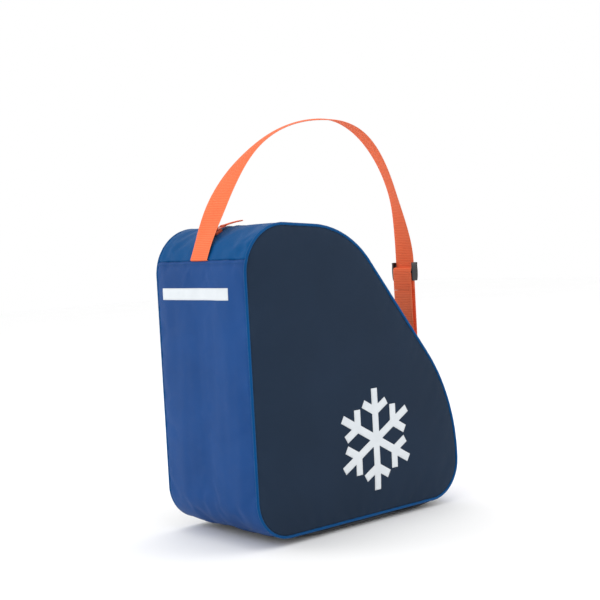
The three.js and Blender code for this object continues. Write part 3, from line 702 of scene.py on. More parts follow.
class PipingSweep:
    """Geometry Nodes that sweep a puckered round section along the piping's line."""

    def __init__(self) -> None:
        """Build the node tree with its named inputs."""
        tree = bpy.data.node_groups.new("SweptPiping", "GeometryNodeTree")
        tree.is_modifier = True
        face = tree.interface
        face.new_socket(name="Geometry", in_out="INPUT", socket_type="NodeSocketGeometry")
        inputs = dict.fromkeys(("Radius", "Step", "Pucker", "Seed"), "Float") | {"Finish": "Material"}
        for name, kind in inputs.items():
            face.new_socket(name=name, in_out="INPUT", socket_type=f"NodeSocket{kind}")
        face.new_socket(name="Geometry", in_out="OUTPUT", socket_type="NodeSocketGeometry")
        new, link = tree.nodes.new, tree.links.new
        given = new("NodeGroupInput")
        curve = new("GeometryNodeMeshToCurve")
        resample = new("GeometryNodeResampleCurve")
        resample.mode = "LENGTH"
        ring = new("GeometryNodeCurvePrimitiveCircle")
        ring.inputs["Resolution"].default_value = 16
        grabs, lengths = [], []
        for source in (resample.outputs[0], ring.outputs[0]):
            grab, parameter = new("GeometryNodeCaptureAttribute"), new("GeometryNodeSplineParameter")
            grab.capture_items.new("FLOAT", "Length")
            link(source, grab.inputs[0])
            link(parameter.outputs["Length"], grab.inputs[1])
            grabs.append(grab.outputs[0])
            lengths.append(grab.outputs[1])
        sweep = new("GeometryNodeCurveToMesh")
        sweep.inputs["Fill Caps"].default_value = True
        cloth = new("ShaderNodeCombineXYZ")
        store = new("GeometryNodeStoreNamedAttribute")
        store.data_type, store.domain = "FLOAT2", "CORNER"
        store.inputs["Name"].default_value = UV
        shift = new("GeometryNodeSetPosition")
        pucker = new("ShaderNodeTexNoise")
        pucker.noise_dimensions = "4D"
        pucker.inputs["Scale"].default_value = 170.0
        pucker.inputs["Detail"].default_value = 1.0
        centred = new("ShaderNodeMath")
        centred.operation = "SUBTRACT"
        centred.inputs[1].default_value = 0.5
        amount = new("ShaderNodeMath")
        amount.operation = "MULTIPLY"
        normal = new("GeometryNodeInputNormal")
        push = new("ShaderNodeVectorMath")
        push.operation = "SCALE"
        real = new("GeometryNodeRealizeInstances")
        dress = new("GeometryNodeSetMaterial")
        out = new("NodeGroupOutput")
        link(given.outputs["Geometry"], curve.inputs["Mesh"])
        link(curve.outputs[0], resample.inputs["Curve"])
        link(given.outputs["Step"], resample.inputs["Length"])
        link(given.outputs["Radius"], ring.inputs["Radius"])
        link(grabs[0], sweep.inputs["Curve"])
        link(grabs[1], sweep.inputs["Profile Curve"])
        link(lengths[0], cloth.inputs[0])
        link(lengths[1], cloth.inputs[1])
        link(sweep.outputs[0], store.inputs["Geometry"])
        link(cloth.outputs[0], store.inputs["Value"])
        link(store.outputs[0], shift.inputs["Geometry"])
        link(given.outputs["Seed"], pucker.inputs["W"])
        link(pucker.outputs["Fac"], centred.inputs[0])
        link(centred.outputs[0], amount.inputs[0])
        link(given.outputs["Pucker"], amount.inputs[1])
        link(normal.outputs[0], push.inputs[0])
        link(amount.outputs[0], push.inputs["Scale"])
        link(push.outputs[0], shift.inputs["Offset"])
        link(shift.outputs[0], real.inputs[0])
        link(real.outputs[0], dress.inputs["Geometry"])
        link(given.outputs["Finish"], dress.inputs["Material"])
        link(dress.outputs[0], out.inputs[0])
        self.tree = tree

    def run(self, name: str, path: Array, values: dict[str, object]) -> Object:
        """Sweep the section along a path and return the plain mesh.

        Args:
            name: The piece's name.
            path: Points of the piping's line.
            values: The tree's inputs by name.

        Returns:
            The realised piece.
        """
        mesh = bpy.data.meshes.new(name)
        mesh.from_pydata([tuple(p) for p in path], [(i, i + 1) for i in range(len(path) - 1)], [])
        obj = bpy.data.objects.new(name, mesh)
        bpy.context.scene.collection.objects.link(obj)
        modifier = obj.modifiers.new("Sweep", "NODES")
        modifier.node_group = self.tree
        for item in self.tree.interface.items_tree:
            if item.in_out == "INPUT" and item.name in values:
                modifier[item.identifier] = values[item.name]
        applied(obj)
        obj.data.materials.clear()
        obj.data.materials.append(values["Finish"])
        obj.data.shade_smooth()
        return obj


def stitch_shape(length: float = 2.3 * MM, radius: float = 0.24 * MM) -> Object:
    """Make one stitch: a short thread that dives into the cloth at both ends."""
    half = [(0.15, 1.0, 0.7), (0.42, 0.7, 0.1), (0.5, 0.1, -0.6)]
    stops = [(-x, r, z) for x, r, z in reversed(half)] + half
    line = [(x * length, 0.0, z * radius) for x, _, z in stops]
    return tube_shape("stitch", line, [r * radius for _, r, _ in stops], 6)


def tube_shape(name: str, line: Sequence[Sequence[float]], radii: Sequence[float], sides: int) -> Object:
    """Make a closed round shape along a short line that runs about along X or Y.

    Args:
        name: The shape's name.
        line: Its centres.
        radii: Its radius at each.
        sides: How many sides its section has.

    Returns:
        The shape, hidden from renders.
    """
    centres = [Vector(p) for p in line]
    places, faces = [], []
    for i, (centre, radius) in enumerate(zip(centres, radii)):
        way = (centres[min(i + 1, len(centres) - 1)] - centres[max(i - 1, 0)]).normalized()
        side = way.cross(Vector((0, 0, 1))).normalized()
        rise = side.cross(way)
        for k in range(sides):
            angle = 2 * math.pi * k / sides
            places.append(centre + (side * math.cos(angle) + rise * math.sin(angle)) * radius)
    for i in range(len(centres) - 1):
        for k in range(sides):
            a, b = i * sides + k, i * sides + (k + 1) % sides
            faces.append((a, a + sides, b + sides, b))
    faces.append(tuple(range(sides)))
    faces.append(tuple(reversed(range((len(centres) - 1) * sides, len(centres) * sides))))
    shape = make_object(name, places, faces)
    bpy.context.scene.collection.objects.unlink(shape)
    return shape


# ---- The shell -----------------------------------------------------------------------------------


@dataclass
class Shell:
    """The soft shell: two side panels, a gusset of four panels and the sole, sewn along the piping."""

    outline: Outline
    seams: Seams
    finishes: Finishes
    half_width: float = 100.0 * MM
    spacing: float = 5.0 * MM
    zip_half: float = 6.6 * MM
    sole_sag: float = 10.6 * MM
    sole_flat: tuple[float, float] = (-67.3 * MM, 84.7 * MM)
    cloth: float = 1.2 * MM
    side_bulge: float = 6.0 * MM
    gusset_bulge: float = 3.2 * MM
    frames: int = 18
    trees: dict[str, BVHTree] = field(default_factory=dict)

    def _stations(self) -> None:
        """Lay the stations round the outline so that every seam falls on one."""
        o, s = self.outline, self.seams
        marks = [o.length_at(seam) for seam in (s.toe_sole, s.front, s.heel_top, s.heel_sole)]
        marks.append(marks[0] + o.total)
        self.marks, places = [0], []
        for a, b in zip(marks, marks[1:]):
            places += list(o.stretch(a, b, self.spacing)[:-1])
            self.marks.append(len(places))
        self.places = np.array(places)
        across = list(np.linspace(self.zip_half, self.half_width, 20))
        self.across = np.array([-y for y in reversed(across)] + [0.0] + across)

    def _sole_drop(self, x: Array) -> Array:
        """Return how far the sole hangs below the outline."""
        o = self.outline
        heel, toe = (o.at(o.length_at(seam))[0] for seam in (self.seams.heel_sole, self.seams.toe_sole))
        back = np.clip((x - heel) / (self.sole_flat[0] - heel), 0, 1)
        front = np.clip((toe - x) / (toe - self.sole_flat[1]), 0, 1)
        return self.sole_sag * (1 - (1 - back) ** 2) * (1 - (1 - front) ** 1.6)

    def _rest(self) -> None:
        """Make the sewn shape before the cloth fills out."""
        self._stations()
        o = self.outline
        points, self.grid = [], np.zeros((len(self.places), len(self.across)), int)
        sole_start, sole_end = self.marks[3], self.marks[4]
        for i, s in enumerate(self.places):
            x, z, nx, nz = o.at(s)
            under = sole_start <= i < sole_end or i == 0
            for j, y in enumerate(self.across):
                edge = 1 - abs(y / self.half_width) ** 12
                drop = float(self._sole_drop(np.array(x))) * edge if under else 0.0
                self.grid[i, j] = len(points)
                points.append((x, y, z - drop))
        count = len(self.places)
        faces = [
            (self.grid[i, j], self.grid[i, j + 1],
             self.grid[(i + 1) % count, j + 1], self.grid[(i + 1) % count, j])
            for i in range(count) for j in range(len(self.across) - 1)
        ]
        self.side_faces: dict[int, list[tuple[int, ...]]] = {}
        ring = [Vector(o.at(s)[:2]) for s in self.places]
        inside = self._inner_points()
        _, _, triangles, origins, _, _ = delaunay_2d_cdt(
            ring + inside, [], [list(range(count))], 1, 1e-7)
        flat = [v[0] if v else None for v in origins]
        for column, sign in ((0, -1.0), (len(self.across) - 1, 1.0)):
            index = {}
            for k, origin in enumerate(flat):
                if origin < count:
                    index[k] = self.grid[origin, column]
                else:
                    index[k] = len(points)
                    p = inside[origin - count]
                    points.append((p.x, sign * self.half_width, p.y))
            caps = [tuple(index[v] for v in face) for face in triangles]
            a, b, c = (Vector(points[v]) for v in caps[0])
            if (b - a).cross(c - a).y * sign < 0:
                caps = [tuple(reversed(face)) for face in caps]
            self.side_faces[int(sign)] = caps
        self.points = np.array(points)
        a, b, c = (Vector(self.points[v]) for v in faces[0][:3])
        _, _, nx, nz = o.at(self.places[0])
        if (b - a).cross(c - a).dot(Vector((nx, 0, nz))) < 0:
            faces = [tuple(reversed(face)) for face in faces]
        self.gusset_faces = faces

    def _inner_points(self) -> list[Vector]:
        """Return an even triangle grid of points inside the outline."""
        o, step = self.outline, self.spacing * 1.04
        low, high = o.table.min(axis=0), o.table.max(axis=0)
        found = []
        rows = int((high[1] - low[1]) / (step * TRIANGLE_HEIGHT)) + 1
        for r in range(rows):
            z = low[1] + r * step * TRIANGLE_HEIGHT
            for x in np.arange(low[0] + (r % 2) * step / 2, high[0], step):
                found.append((x, z))
        grid = np.array(found)
        a, b = o.table, np.roll(o.table, -1, axis=0)
        crossed = (a[None, :, 1] > grid[:, None, 1]) != (b[None, :, 1] > grid[:, None, 1])
        with np.errstate(divide="ignore", invalid="ignore"):
            run, rise = b[None, :, 0] - a[None, :, 0], b[None, :, 1] - a[None, :, 1]
            at = run * (grid[:, None, 1] - a[None, :, 1]) / rise + a[None, :, 0]
        inside = (crossed & (grid[:, None, 0] < at)).sum(axis=1) % 2 == 1
        places = np.column_stack([grid[:, 0], np.zeros(len(grid)), grid[:, 1]])
        _, distance = o.measure(places)
        return [Vector(p) for p in grid[inside & (distance > self.spacing * 0.72)]]

    def _bulge(self) -> Array:
        """Return how far the filled cloth stands out at rest, as rows of three."""
        points = self.points
        moved = np.zeros_like(points)
        _, distance = self.outline.measure(points)
        side = np.abs(points[:, 1]) > self.half_width - 1e-6
        share = 1 - np.exp(-distance / (38 * MM))
        moved[side, 1] = (np.sign(points[:, 1]) * share * self.side_bulge)[side]
        for i, s in enumerate(self.places):
            _, _, nx, nz = self.outline.at(s)
            if self.marks[3] <= i:
                continue
            across = 1 - np.abs(self.across / self.half_width) ** 6
            ends = float(smooth(i - self.marks[0], 0, 6) * smooth(self.marks[3] - i, 0, 8))
            depth = self.gusset_bulge * across * (0.35 + 0.65 * ends)
            top = float(smooth(i - self.marks[1], -4, 4) * smooth(self.marks[2] - i, -4, 4))
            depth = depth * (1 - top) - 0.6 * MM * top * across
            moved[self.grid[i], 0] = nx * depth
            moved[self.grid[i], 2] = nz * depth
        return moved

    def _filled(self) -> Array:
        """Let the cloth fill out with its seams held, and return its points."""
        start = self.points + self._bulge() * 0.6
        faces = self.gusset_faces + self.side_faces[-1] + self.side_faces[1]
        obj = make_object("filling_shell", start, faces)
        held = obj.vertex_groups.new(name="held")
        side = np.abs(np.abs(self.points[:, 1]) - self.half_width) < 1e-6
        _, distance = self.outline.measure(self.points)
        middle = np.abs(self.points[:, 1]) < self.zip_half + 1e-6
        fixed = np.where((side & (distance < 1 * MM)) | middle)[0]
        held.add([int(v) for v in fixed], 1.0, "REPLACE")
        modifier = obj.modifiers.new("Fill", "CLOTH")
        settings = modifier.settings
        settings.quality = 4
        settings.mass = 0.3
        settings.tension_stiffness = settings.compression_stiffness = 25.0
        settings.shear_stiffness = 12.0
        settings.bending_stiffness = 3.0
        settings.vertex_group_mass = held.name
        settings.use_pressure = True
        settings.uniform_pressure_force = 3.0
        settings.shrink_min = -0.012
        settings.effector_weights.gravity = 0.0
        modifier.collision_settings.use_collision = False
        modifier.point_cache.frame_start = 1
        modifier.point_cache.frame_end = self.frames
        scene = bpy.context.scene
        for number in range(1, self.frames + 1):
            scene.frame_set(number)
        graph = bpy.context.evaluated_depsgraph_get()
        mesh = obj.evaluated_get(graph).to_mesh()
        filled = points_of(mesh)
        scene.frame_set(1)
        bpy.data.objects.remove(obj)
        return filled - start

    def _panel(
        self, name: str, points: Array, faces: list[tuple[int, ...]], uv: Array, material: Material
    ) -> Object:
        """Cut one panel out of the shell and round it."""
        used = sorted({v for face in faces for v in face})
        number = {v: k for k, v in enumerate(used)}
        obj = make_object(
            name, points[used], [tuple(number[v] for v in face) for face in faces], uv[used], material)
        return subdivided(obj)

    def _strip(self, first: int, last: int, columns: slice) -> list[tuple[int, ...]]:
        """Return the gusset's faces between two stations and two columns."""
        width = len(self.across) - 1
        low, high, _ = columns.indices(width)
        count = len(self.places)
        return [self.gusset_faces[(i % count) * width + j]
                for i in range(first, last) for j in range(low, high)]

    def build(self) -> None:
        """Make every panel of the shell."""
        self._rest()
        bulge = self._bulge()
        points = self.points + bulge
        drift = self._filled()
        LOG.info("cloth filled out by up to %.1f mm", np.linalg.norm(drift, axis=1).max() / MM)
        size = np.linalg.norm(drift, axis=1, keepdims=True)
        cap = 4.0 * MM
        points = self.points + bulge * 0.6 + drift * (cap / (cap + size))
        o = self.outline
        lengths, _ = o.measure(self.points)
        lengths = np.where(lengths < o.length_at(self.seams.toe_sole) - 2 * MM, lengths + o.total, lengths)
        gusset_uv = np.column_stack([lengths, self.points[:, 1]])
        side_uv = self.points[:, [0, 2]]
        f, m = self.finishes, self.marks
        width = len(self.across)
        half = width // 2
        panels = {
            "back_panel": (self._strip(m[2], m[3], slice(0, width)), gusset_uv, f.royal),
            "front_panel": (self._strip(m[0], m[1], slice(0, width)), gusset_uv, f.royal),
            "bottom_panel": (self._strip(m[3], m[4], slice(0, width)), gusset_uv, f.sole),
            "top_gusset_right": (self._strip(m[1], m[2], slice(0, half - 1)), gusset_uv, f.teal),
            "top_gusset_left": (self._strip(m[1], m[2], slice(half + 1, width)), gusset_uv, f.teal),
            "side_panel_right": (self.side_faces[-1], side_uv, f.navy),
            "side_panel_left": (self.side_faces[1], side_uv, f.navy),
        }
        slots = {"back_panel": "royal_fabric", "front_panel": "royal_fabric", "bottom_panel": "sole_fabric",
                 "top_gusset_right": "teal_fabric", "top_gusset_left": "teal_fabric"}
        for name, (faces, uv, material) in panels.items():
            obj = self._panel(f"cloth_{name}", points, faces, uv, material)
            self._wrinkle(obj, name)
            self.trees[name] = tree_of(obj)
            thicken(obj, self.cloth)
            finish_piece(obj, "bag", slots.get(name, "navy_fabric"), name)

    def _wrinkle(self, obj: Object, name: str) -> None:
        """Add the seams' puckers, soft wrinkles and rubbed edges to a panel."""
        mesh = obj.data
        places, normals = points_of(mesh), points_of(mesh, "normal")
        along, distance = self.outline.measure(places)
        edge = self.half_width - np.abs(places[:, 1])
        side = name.startswith("side")
        gap = distance if side else np.maximum(edge, 0)
        uneven = noise_at(np.column_stack([along, along * 0, along * 0]), (35, 1, 1), 3.0 if side else 7.0)
        wave = np.sin(2 * math.pi * (along / (15 * MM)) + 5 * uneven)
        height = 0.38 * MM * wave * np.exp(-gap / (6 * MM)) * smooth(gap, 0, 2.5 * MM)
        height -= 1.0 * MM * np.exp(-((gap / (2.4 * MM)) ** 2))
        if side:
            height += 0.7 * MM * noise_at(places, (9, 9, 9), 2.0) * smooth(gap, 5 * MM, 60 * MM)
            height += 0.35 * MM * noise_at(places, (26, 26, 26), 5.0) * smooth(gap, 4 * MM, 30 * MM)
        elif name == "back_panel":
            height += self._back_relief(places, along, gap)
        elif name.startswith("top"):
            height += self._top_relief(places, along, gap)
        elif name == "bottom_panel":
            height += 0.3 * MM * noise_at(places, (30, 30, 30), 4.0) * smooth(gap, 2 * MM, 12 * MM)
        else:
            height += 0.8 * MM * noise_at(places, (6, 28, 14), 1.0) * smooth(gap, 2 * MM, 25 * MM)
        moved = places + normals * height[:, None]
        moved[:, 2] = np.maximum(moved[:, 2], 0.0)
        set_points(mesh, moved)
        rub = np.exp(-gap / (5 * MM)) * (0.35 + 0.65 * smooth(noise_at(places, (40, 40, 40), 9.0), -0.3, 0.4))
        if name == "bottom_panel":
            rub = np.maximum(rub, smooth(0.004 - moved[:, 2], 0.0, 0.004) * 0.6)
        mesh.attributes.new(WEAR, "FLOAT", "POINT").data.foreach_set("value", (rub * 0.55).astype(np.float32))

    def _back_relief(self, places: Array, along: Array, gap: Array) -> Array:
        """Return the back panel's soft upright wrinkles, its hem and the pull of the strap."""
        o, y = self.outline, places[:, 1]
        top = o.length_at(self.seams.heel_top)
        down = along - top
        inner = smooth(gap, 3 * MM, 28 * MM)
        fade = smooth(down, 8 * MM, 60 * MM)
        relief = 2.1 * MM * noise_at(places, (1, 26, 3.2), 11.0) * inner * (0.35 + 0.65 * fade)
        relief += 0.6 * MM * noise_at(places, (1, 60, 9), 17.0) * inner * fade
        for sign in (-1, 1):
            ray = np.abs(y - sign * (17 * MM + 0.42 * down))
            pull = np.exp(-((ray / (5 * MM)) ** 2)) * np.exp(-down / (45 * MM))
            relief += 1.0 * MM * pull * smooth(down, 7 * MM, 15 * MM)
        hem = smooth(down, 0.4 * MM, 1.6 * MM) * (1 - smooth(down, 6.6 * MM, 7.6 * MM))
        relief += 0.55 * MM * hem - 0.5 * MM * np.exp(-((down - 8.2 * MM) / (1.0 * MM)) ** 2)
        return relief - 0.9 * MM * np.exp(-((down / (1.2 * MM)) ** 2))

    def _top_relief(self, places: Array, along: Array, gap: Array) -> Array:
        """Return the gusset's cross wrinkles, its folded edges at the zip and its dip at the seams."""
        o, y = self.outline, np.abs(places[:, 1])
        front, heel = o.length_at(self.seams.front), o.length_at(self.seams.heel_top)
        zip_gap = y - self.zip_half
        inner = smooth(gap, 3 * MM, 20 * MM)
        flat = np.column_stack([along, y * np.sign(places[:, 1]), along * 0])
        relief = 0.9 * MM * noise_at(flat, (42, 12, 1), 5.0) * inner
        near = np.exp(-zip_gap / (9 * MM))
        relief += 0.45 * MM * np.sin(2 * math.pi * along / (19 * MM) + 3 * np.sign(places[:, 1])) * near
        relief += 0.5 * MM * smooth(zip_gap, 0.2 * MM, 1.4 * MM) * (1 - smooth(zip_gap, 5 * MM, 6.2 * MM))
        relief -= 0.6 * MM * (1 - smooth(zip_gap, 0.0, 1.2 * MM))
        for seam in (front, heel):
            relief -= 0.8 * MM * np.exp(-(((along - seam) / (1.6 * MM)) ** 2))
        fold = (heel - along) - 14 * MM - 0.25 * (y - 60 * MM)
        reach = smooth(y, 45 * MM, 85 * MM) * smooth(gap, 1 * MM, 8 * MM)
        relief += 1.4 * MM * np.exp(-((fold / (6 * MM)) ** 2)) * reach
        return relief


@dataclass
class SeamStitching:
    """Rows of stitches that hold the hems beside the seams across the gusset."""

    shell: Shell
    repeat: PathRepeat
    finishes: Finishes
    pitch: float = 3.1 * MM
    reach: float = 94.0

    def build(self) -> None:
        """Sew every row on its panel."""
        outline, seams = self.shell.outline, self.shell.seams
        heel, front = outline.length_at(seams.heel_top), outline.length_at(seams.front)
        plans = [
            ("hem_stitching", "back_panel", heel + 5.2 * MM, 21),
            ("front_stitching", "front_panel", front - 3.5 * MM, 23),
            ("sole_heel_stitching", "back_panel", outline.length_at(seams.heel_sole) - 4 * MM, 24),
        ]
        y = np.linspace(-self.reach, self.reach, 80) * MM
        for name, panel, place, seed in plans:
            x, z, _, _ = outline.at(place, 3 * MM)
            line = np.column_stack([np.full(len(y), x), y, np.full(len(y), z)])
            rows = [laid(self.shell.trees[panel], line, 0.05 * MM)]
            thread = self.finishes.thread_blue
            obj = self.repeat.run(name, rows, stitch_shape(), self.pitch, thread, 0.06, seed)
            finish_piece(obj, "bag", "royal_fabric")


def laid(tree: BVHTree, places: Array, lift: float) -> tuple[Array, Array]:
    """Lay points on a surface.

    Args:
        tree: The surface.
        places: Points near it.
        lift: How far above it they come to lie.

    Returns:
        The points on it and its outward normals there.
    """
    points, normals = [], []
    for place in places:
        at, normal, _, _ = tree.find_nearest(Vector(place))
        points.append(at + normal * lift)
        normals.append(normal)
    return np.array(points), np.array(normals)


@dataclass
class Piping:
    """The two piped seams, each a cloth-covered cord round a side panel."""

    outline: Outline
    finishes: Finishes
    radius: float = 2.0 * MM
    core: float = 1.3 * MM
    half_width: float = 100.0 * MM
    sunk: tuple[float, float] = (0.3 * MM, 1.2 * MM)

    def build(self) -> list[Object]:
        """Sweep both covers."""
        sweep = PipingSweep()
        lengths = self.outline.stretch(0, self.outline.total, 2.0 * MM)
        outline = self.outline
        start = outline.total - 0.5 * (outline.total - outline.starts[-1] - outline.bends[-1].length)
        made = []
        for side, sign, seed, sunk in (("right", -1, 1.3, self.sunk[0]), ("left", 1, 8.1, self.sunk[1])):
            ring = [self.outline.at(start + s, -sunk) for s in lengths]
            path = np.array([(x, sign * (self.half_width - sunk / 2), z) for x, z, _, _ in ring])
            values = {"Radius": self.radius, "Step": 1.6 * MM, "Pucker": 0.45 * MM, "Seed": seed,
                      "Finish": self.finishes.piping}
            obj = sweep.run(f"piping_{side}", path, values)
            made.append(finish_piece(obj, "bag", "piping_fabric", f"piping_cover_{side}"))
            core = values | {"Radius": self.core, "Step": 5 * MM, "Pucker": 0.0, "Finish": self.finishes.cord}
            cord = sweep.run(f"piping_core_{side}", path, core)
            made.append(finish_piece(cord, "bag", "piping_core", f"piping_cord_{side}"))
        return made


# ---- The zip -------------------------------------------------------------------------------------


@dataclass
class Zip:
    """The zip's woven tapes, its coil of teeth, and the stitching that holds it."""

    shell: Shell
    repeat: PathRepeat
    finishes: Finishes
    tape_depth: float = 1.9 * MM
    tape_thickness: float = 0.6 * MM
    tooth_pitch: float = 1.6 * MM
    slider_facing: float = 118.0
    slider_room: float = 9.0 * MM

    def _line(self, start: float, end: float, y: float, depth: float, step: float) -> tuple[Array, Array]:
        """Return points and normals along the gusset at a depth under its line."""
        rows = [self.shell.outline.at(s, -depth) for s in self.shell.outline.stretch(start, end, step)]
        points = np.array([(x, y, z) for x, z, _, _ in rows])
        return points, np.array([(nx, 0.0, nz) for _, _, nx, nz in rows])

    def _tapes(self, start: float, end: float) -> None:
        """Weave the two tapes, each thicker where it carries the coil."""
        lengths = self.shell.outline.stretch(start, end, 2.0 * MM)
        columns = np.array([0.5, 0.9, 1.6, 2.6, 4.5, 7.0, 10.0, 13.0, 15.5]) * MM
        for side, sign in (("right", -1), ("left", 1)):
            points, uv = [], []
            for s in lengths:
                for y in columns:
                    rise = 0.35 * MM * math.exp(-((y - 3.1 * MM) / (0.8 * MM)) ** 2)
                    x, z, _, _ = self.shell.outline.at(s, -self.tape_depth + rise)
                    points.append((x, sign * y, z))
                    uv.append((s, sign * y))
            wide = len(columns)
            faces = [(i * wide + j, i * wide + j + 1, (i + 1) * wide + j + 1, (i + 1) * wide + j)
                     for i in range(len(lengths) - 1) for j in range(wide - 1)]
            if sign > 0:
                faces = [tuple(reversed(face)) for face in faces]
            obj = make_object(f"woven_zip_tape_{side}", points, faces, np.array(uv), self.finishes.tape)
            if obj.data.polygons[0].normal.x < 0:
                obj.data.flip_normals()
            thicken(obj, self.tape_thickness)
            finish_piece(obj, "bag", "zip_tape", f"zipper_tape_{side}")

    def _teeth(self, start: float, end: float) -> None:
        """Set the teeth of both coils, each side half a pitch from the other."""
        for side, sign in (("right", -1), ("left", 1)):
            reach = [(-0.75, 0.0, 0.3), (-0.55, 0.42, 0.35), (0.4, 0.40, 0.45),
                     (1.6, 0.36, 0.35), (2.5, 0.42, -0.1), (2.85, 0.2, -0.55)]
            line = [(0.0, sign * y * MM, z * MM) for y, _, z in reach]
            tooth = tube_shape("tooth", line, [max(r, 0.12) * MM for _, r, _ in reach], 6)
            shift = self.tooth_pitch / 2 if sign > 0 else 0.0
            path = self._line(start + shift, end, 0.0, 0.35 * MM, 4.0 * MM)
            coil = self.repeat.run(f"zip_teeth_{side}", [path], tooth, self.tooth_pitch, self.finishes.coil)
            finish_piece(coil, "bag", "zip_coil", f"zipper_coil_{side}")

    def _stitching(self, start: float, end: float) -> None:
        """Stitch the gusset's folded edges to the tapes."""
        paths = []
        for side, sign in (("right", -1), ("left", 1)):
            tree = self.shell.trees[f"top_gusset_{side}"]
            line, _ = self._line(start, end, sign * (self.shell.zip_half + 3.6 * MM), -1 * MM, 3.0 * MM)
            paths.append(laid(tree, line, 0.05 * MM))
        thread = self.finishes.thread_blue
        rows = self.repeat.run("zip_stitching", paths, stitch_shape(), 3.0 * MM, thread, 0.05, 4)
        finish_piece(rows, "bag", "teal_fabric")

    def build(self) -> None:
        """Make the zip's soft parts."""
        outline, seams = self.shell.outline, self.shell.seams
        start = outline.length_at(seams.front) + 5.0 * MM
        end = outline.length_at(seams.heel_top) - 5.0 * MM
        closed = outline.length_at(self.slider_facing) + self.slider_room
        self._tapes(start - 0.5 * MM, end)
        self._teeth(start + 4.5 * MM, closed)
        self._stitching(start, end)


# ---- Webbing -------------------------------------------------------------------------------------


@dataclass
class Ribbon:
    """A woven ribbon with real cross ribs, laid along a line with its own turn at each point."""

    width: float = 38.0 * MM
    thickness: float = 1.6 * MM
    rib_pitch: float = 2.6 * MM
    rib_height: float = 0.24 * MM
    per_rib: int = 6

    def columns(self) -> Array:
        """Return places across the ribbon from edge to edge, closer at its edges."""
        inner = np.linspace(-0.9, 0.9, 9)
        return np.concatenate([[-1.0, -0.975], inner, [0.975, 1.0]])

    def build(self, name: str, points: Array, runs: Array, turns: Array, material: Material) -> Object:
        """Weave the ribbon.

        Args:
            name: The piece's name.
            points: Centres, in metres, as X and Z pairs.
            runs: The way the ribbon runs at each, as unit pairs.
            turns: How far it is turned about its own line at each, in radians.
            material: Its finish.

        Returns:
            The closed mesh.
        """
        gaps = np.linalg.norm(np.diff(points, axis=0), axis=1)
        lengths = np.concatenate([[0], np.cumsum(gaps)])
        count = max(3, round(lengths[-1] / (self.rib_pitch / self.per_rib)) + 1)
        at = np.linspace(0, lengths[-1], count)
        sample = lambda values: np.interp(at, lengths, values)
        px, pz = sample(points[:, 0]), sample(points[:, 1])
        rx, rz = sample(runs[:, 0]), sample(runs[:, 1])
        size = np.hypot(rx, rz)
        rx, rz, turn = rx / size, rz / size, sample(turns)
        columns = self.columns()
        body = np.sqrt(np.clip(1 - np.abs(columns) ** 14, 0, 1))
        loop = [(c, 1.0, b) for c, b in zip(columns, body)] + [
            (c, -1.0, b) for c, b in list(zip(columns, body))[-2:0:-1]]
        rib = np.abs(np.sin(math.pi * at / self.rib_pitch)) * self.rib_height
        ends = np.minimum(at, lengths[-1] - at)
        drift = np.array([noise.noise(Vector((s * 22, 3.1, 0))) for s in at])
        wander = drift * 0.35 * MM * smooth(ends, 0, 30 * MM)
        places, uv = [], []
        for column, face, share in loop:
            across = column * self.width / 2 + wander
            ribbed = rib * share * (1 if abs(column) < 0.95 else 0.3)
            out = face * (self.thickness / 2 * share + ribbed - self.rib_height)
            if share < 1e-6:
                out = np.zeros_like(at)
            rise = out * np.cos(turn) + across * np.sin(turn)
            y = across * np.cos(turn) - out * np.sin(turn)
            places.append(np.column_stack([px - rz * rise, y, pz + rx * rise]))
            uv.append(np.column_stack([at, across + face * 0.1]))
        wide = len(loop)
        stacked = np.stack(places, axis=1).reshape(-1, 3)
        cloth = np.stack(uv, axis=1).reshape(-1, 2)
        faces = [(i * wide + k, i * wide + (k + 1) % wide,
                  (i + 1) * wide + (k + 1) % wide, (i + 1) * wide + k)
                 for i in range(count - 1) for k in range(wide)]
        faces += [tuple(range(wide - 1, -1, -1)), tuple((count - 1) * wide + k for k in range(wide))]
        obj = make_object(name, stacked, faces, cloth, material)
        bm = bmesh.new()
        bm.from_mesh(obj.data)
        bmesh.ops.recalc_face_normals(bm, faces=bm.faces)
        bm.to_mesh(obj.data)
        bm.free()
        rub = np.tile(np.array([abs(c) > 0.95 for c, _, _ in loop], float), count) * 0.6
        obj.data.attributes.new(WEAR, "FLOAT", "POINT").data.foreach_set("value", rub.astype(np.float32))
        obj.data.shade_smooth()
        return obj


